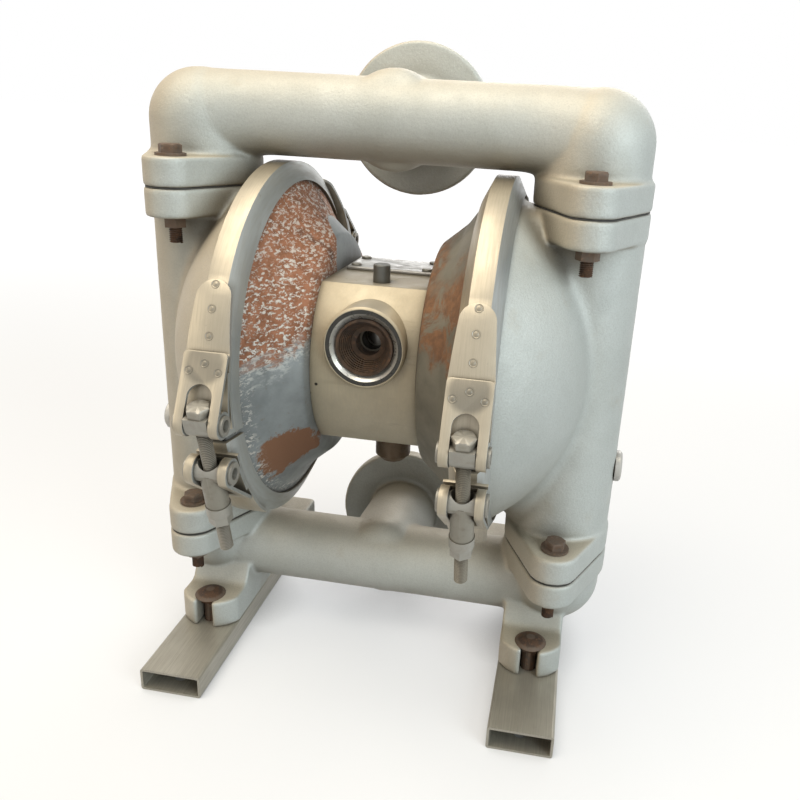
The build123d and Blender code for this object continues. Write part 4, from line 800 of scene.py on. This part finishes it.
def castings():
    steel = cast_metal("blasted_casting")
    pipes = {"discharge_manifold": DISCHARGE_Z, "suction_manifold": SUCTION_Z,
             "left_liquid_chamber": None, "right_liquid_chamber": None}
    for number, (node, pipe_z) in enumerate(pipes.items()):
        dress(cast_skin(node, CAST_SEED * number, pipe_z=pipe_z), steel, "cast_stainless", node)
    rust = {"left": left_cone("left_cone_rust"), "right": right_cone("right_cone_rust")}
    for side, material in rust.items():
        node = side + "_air_chamber"
        dress(cast_skin(node, CONE_SEED, CONE_ROUNDS), material, "rusty_cast_iron", node)


def block_pieces():
    pale = machined("machined_block")
    cover = plain_steel("cover_steel", COVER_STEEL, (0.3, 0.5))
    dress(broken_edges("centre_block", BLOCK_EDGE), pale, "machined_block", "centre_block")
    dress(broken_edges("top_cover_plate", COVER_EDGE), cover, "machined_block", "top_cover_plate")


def clamp_pieces():
    sheet = satin_sheet("clamp_sheet")
    for side in ("left", "right"):
        for half in ("upper", "lower"):
            node = f"{side}_clamp_{half}_half"
            dress(broken_edges(node, CLAMP_EDGE), sheet, "clamp_sheet", node)


def rivets():
    "Low rivets on the head ends' straps, three above the fold and three below it."
    studs = Mesh()
    outline = [(radius * MM, z * MM) for radius, z in RIVET_OUTLINE]
    crown = CROWN_R + STRAP_T
    outer = crown + STRAP_T
    fold = Vector((0, CLOSURE_R - outer * math.cos(STRAP_FOLD), outer * math.sin(STRAP_FOLD)))
    reach = Vector((0, 0, LOOP_UP)) - fold
    along = math.atan2(reach.z, reach.y) - math.asin(LOOP_R / reach.length)
    down = Vector((0, math.cos(along), math.sin(along)))
    for place in closures():
        if place.translation.y > 0:
            place = place @ Matrix.Scale(-1, 4, (0, 1, 0))
        for angle in RIVET_ANGLES:
            out = math.radians(angle)
            spot = Vector((0, CLOSURE_R - crown * math.cos(out), crown * math.sin(out)))
            turn = Matrix.Rotation(math.pi / 2 - out, 4, "X")
            studs.lathe(outline, place @ Matrix.Translation(spot) @ turn)
        turn = Matrix.Rotation(along + math.pi, 4, "X")
        for x, run in RIVET_SPOTS:
            spot = fold + down * (run * MM) + Vector((x * MM, 0, 0))
            studs.lathe(outline, place @ Matrix.Translation(spot) @ turn)
    dress(studs.build("strap_rivets"), satin_sheet("rivet_sheet", 0.72), "clamp_sheet")


def flange_fasteners():
    bolts = Mesh()
    for number, (top, bottom) in enumerate(zip(FLANGE_TOPS, FLANGE_BOTTOMS)):
        head = top + WASHER_T
        thread_top = bottom - FLANGE_THREAD_TOP
        shank = (thread_top - SHANK_LAP, head + HEAD_LAP)
        outline = [(0, shank[0]), (SHANK_R, shank[0]), (SHANK_R, shank[1]), (0, shank[1])]
        for side_x in (-1, 1):
            for side_y in (-1, 1):
                turns = zip(FLANGE_SPINS, (number, side_x, side_y))
                spin = math.radians(sum(spin * count for spin, count in turns))
                axis = Matrix.Translation((side_x * COLUMN_X, side_y * EAR_Y, 0))
                place = axis @ Matrix.Rotation(spin, 4, "Z")
                bolts.head(head, place)
                bolts.thread(bottom - FLANGE_BOLT_END, thread_top, place)
                bolts.lathe(outline, place)
    dress(bolts.build("flange_bolts_threaded"), rusty_steel("rusty_bolts"), "rusty_fasteners",
          "flange_bolts")


def clamp_fasteners():
    bolts = Mesh()
    for number, place in enumerate(closures()):
        spin = math.radians(CLAMP_SPINS[number % 2])
        turned = place @ Matrix.Rotation(spin, 4, "Z")
        bolts.head(CLAMP_HEAD_LOW, turned)
        bolts.thread(-CLAMP_TAIL, CLAMP_HEAD_LOW + HEAD_LAP, turned)
    steel = plain_steel("bolt_steel", CLAMP_BOLT_STEEL, (0.34, 0.5), 0.55, 0.45, 0.2)
    dress(bolts.build("clamp_bolts_threaded"), steel, "clamp_hardware", "clamp_bolts")


def diaphragms():
    "Each diaphragm in two parts: the middle moves with the shaft, and the rolled ring stays."
    black = rubber("diaphragm_rubber")
    for side in ("left", "right"):
        node = side + "_diaphragm"
        for part, body in (("middle", "shaft_set"), ("ring", ROOT)):
            obj = copy_of(node, f"{node}_{part}")
            edit = bmesh.new()
            edit.from_mesh(obj.data)
            inner = {face for face in edit.faces
                     if all(math.hypot(v.co.y, v.co.z - SHAFT_Z) < DIAPHRAGM_SPLIT_R
                            for v in face.verts)}
            drop = set(edit.faces) - inner if part == "middle" else inner
            bmesh.ops.delete(edit, geom=list(drop), context="FACES")
            rims = [edge for edge in edit.edges if len(edge.link_faces) == 1]
            bmesh.ops.bridge_loops(edit, edges=rims)
            bmesh.ops.recalc_face_normals(edit, faces=edit.faces)
            edit.to_mesh(obj.data)
            edit.free()
            smooth_shade(obj.data)
            dress(obj, black, "black_rubber", *([node] if part == "ring" else []), body=body)


def plain_nodes():
    "Materials for the CAD nodes that show as they are."
    bare = plain_steel("hardware_steel", HARDWARE_STEEL, (0.36, 0.50), 0.5, 0.45, 0.2)
    bright = inlet_steel("ring_steel")
    dark = rusty_steel("dark_rust")
    plug = plain_steel("plug_steel", PLUG_STEEL, (0.35, 0.5), 0.6, 0.5)
    bar = bar_steel("bar_steel")
    black = rubber("black_rubber")
    brown = rusty_bush("brown_bush")
    silencer = plain_steel("silencer_rust", SILENCER_BROWN, (0.5, 0.7), 0.5, 0.2, 0.0)
    pin = plain_steel("pin_steel", PIN_STEEL, (0.35, 0.5), 0.3, 0.4, 0.0)
    inside = plain_steel("inside_steel")
    looks = {
        "left_foot_bar": bar, "right_foot_bar": bar,
        "clamp_saddles": bare, "clamp_sleeves": bare, "clamp_nuts": bare, "cover_screws": bare,
        "air_inlet_ring": bright, "air_inlet_bush": brown,
        "exhaust_silencer": silencer, "spool_pin": pin, "side_plugs": plug,
        "flange_washers": dark, "flange_nuts": dark, "foot_nuts": dark, "foot_bolts": dark,
        "flange_gaskets": black,
    }
    for name, node in NODES.items():
        if node.hide_render:
            continue
        soft = "ball" in name or "seals" in name
        node.data.materials.clear()
        node.data.materials.append(looks.get(name, black if soft else inside))
        smooth_shade(node.data, NODE_SHARP_ANGLE)


# Stage, lights and camera

def seen_directly(tree):
    "1 for what the camera, a reflection or a clear piece sees, 0 for light that falls on things."
    path = tree.nodes.new("ShaderNodeLightPath")
    total = path.outputs["Is Camera Ray"]
    for name in ("Is Glossy Ray", "Is Transmission Ray"):
        node = tree.nodes.new("ShaderNodeMath")
        node.operation = "MAXIMUM"
        tree.links.new(total, node.inputs[0])
        tree.links.new(path.outputs[name], node.inputs[1])
        total = node.outputs[0]
    return total


def stage():
    "A pale floor that reads as white out to the horizon and keeps the pump's soft shadow."
    bpy.ops.mesh.primitive_plane_add(size=FLOOR_SIZE, location=(0, 0, 0))
    floor = bpy.context.object
    floor.name = "floor"
    t = Tree("pale_floor")
    direct = seen_directly(t.material.node_tree)
    t.finish(t.blend(direct, FLOOR_LIT, FLOOR_SEEN), 1.0, 0.0)
    t.shader.inputs["Specular IOR Level"].default_value = 0.0
    away = t.nodes.new("ShaderNodeVectorMath")
    away.operation = "LENGTH"
    t.put(away.inputs[0], t.place)
    glow = t.fade(away.outputs["Value"], FLOOR_NEAR, FLOOR_FAR, FLOOR_GLOW, 1.0)
    # painted contact shadow: the floor's glow is darkened where the pump stands close
    painted_contact_shadow = t.nodes.new("ShaderNodeAmbientOcclusion")
    painted_contact_shadow.inputs["Distance"].default_value = FLOOR_SHADE_REACH
    glow = t.times(glow, t.fade(painted_contact_shadow.outputs["AO"], *CROWDED_FLOOR))
    t.shader.inputs["Emission Color"].default_value = (1, 1, 1, 1)
    t.put(t.shader.inputs["Emission Strength"], t.times(glow, direct))
    floor.data.materials.append(t.material)


def world():
    scene = bpy.context.scene
    scene.world = bpy.data.worlds.new("studio")
    scene.world.use_nodes = True
    tree = scene.world.node_tree
    back = tree.nodes["Background"]
    strength = tree.nodes.new("ShaderNodeMix")
    strength.data_type = "FLOAT"
    tree.links.new(seen_directly(tree), strength.inputs["Factor"])
    strength.inputs["A"].default_value = WORLD_LIGHT
    strength.inputs["B"].default_value = 1.0
    back.inputs["Color"].default_value = (1, 1, 1, 1)
    tree.links.new(strength.outputs["Result"], back.inputs["Strength"])


def lamp(name, place, size, power, color):
    data = bpy.data.lights.new(name, "AREA")
    data.shape = "RECTANGLE"
    data.size, data.size_y = size
    data.energy = power
    data.color = color
    obj = bpy.data.objects.new(name, data)
    bpy.context.scene.collection.objects.link(obj)
    obj.location = place
    obj.rotation_euler = (Vector(LAMP_AIM) - Vector(place)).to_track_quat("-Z", "Y").to_euler()


def lights():
    lamp("top", (-0.4, -0.3, 1.9), (1.5, 1.5), 29.0, (1.0, 0.92, 0.77))
    lamp("left", (-1.6, -1.2, 0.8), (1.0, 1.2), 7.0, (1.0, 0.90, 0.72))
    lamp("right", (1.6, -1.2, 0.9), (1.1, 1.4), 27.0, (0.86, 0.965, 1.0))
    lamp("back", (0.2, 1.6, 1.2), (1.4, 0.9), 12.0, (1.0, 1.0, 1.0))


def camera():
    yaw, down, roll = (math.radians(a) for a in (CAMERA_YAW, CAMERA_DOWN, CAMERA_ROLL))
    flat = math.cos(down)
    ahead = Vector((-math.sin(yaw) * flat, math.cos(yaw) * flat, -math.sin(down)))
    level = Vector((math.cos(yaw), math.sin(yaw), 0))
    upright = level.cross(ahead)
    right = math.cos(roll) * level + math.sin(roll) * upright
    up = math.cos(roll) * upright - math.sin(roll) * level
    data = bpy.data.cameras.new("photo_camera")
    data.sensor_width = SENSOR
    data.lens = CAMERA_FOCAL * SENSOR / FRAME_PIXELS
    data.shift_x = -(CAMERA_AXIS[0] / FRAME_PIXELS - 0.5)
    data.shift_y = CAMERA_AXIS[1] / FRAME_PIXELS - 0.5
    data.clip_start = 0.02
    obj = bpy.data.objects.new("photo_camera", data)
    bpy.context.scene.collection.objects.link(obj)
    turn = Matrix((right, up, -ahead)).transposed().to_4x4()
    obj.matrix_world = Matrix.Translation(CAMERA_PLACE) @ turn
    bpy.context.scene.camera = obj


castings()
block_pieces()
clamp_pieces()
rivets()
flange_fasteners()
clamp_fasteners()
diaphragms()
plain_nodes()
stage()
world()
lights()
camera()
bpy.context.scene.view_settings.view_transform = "Standard"
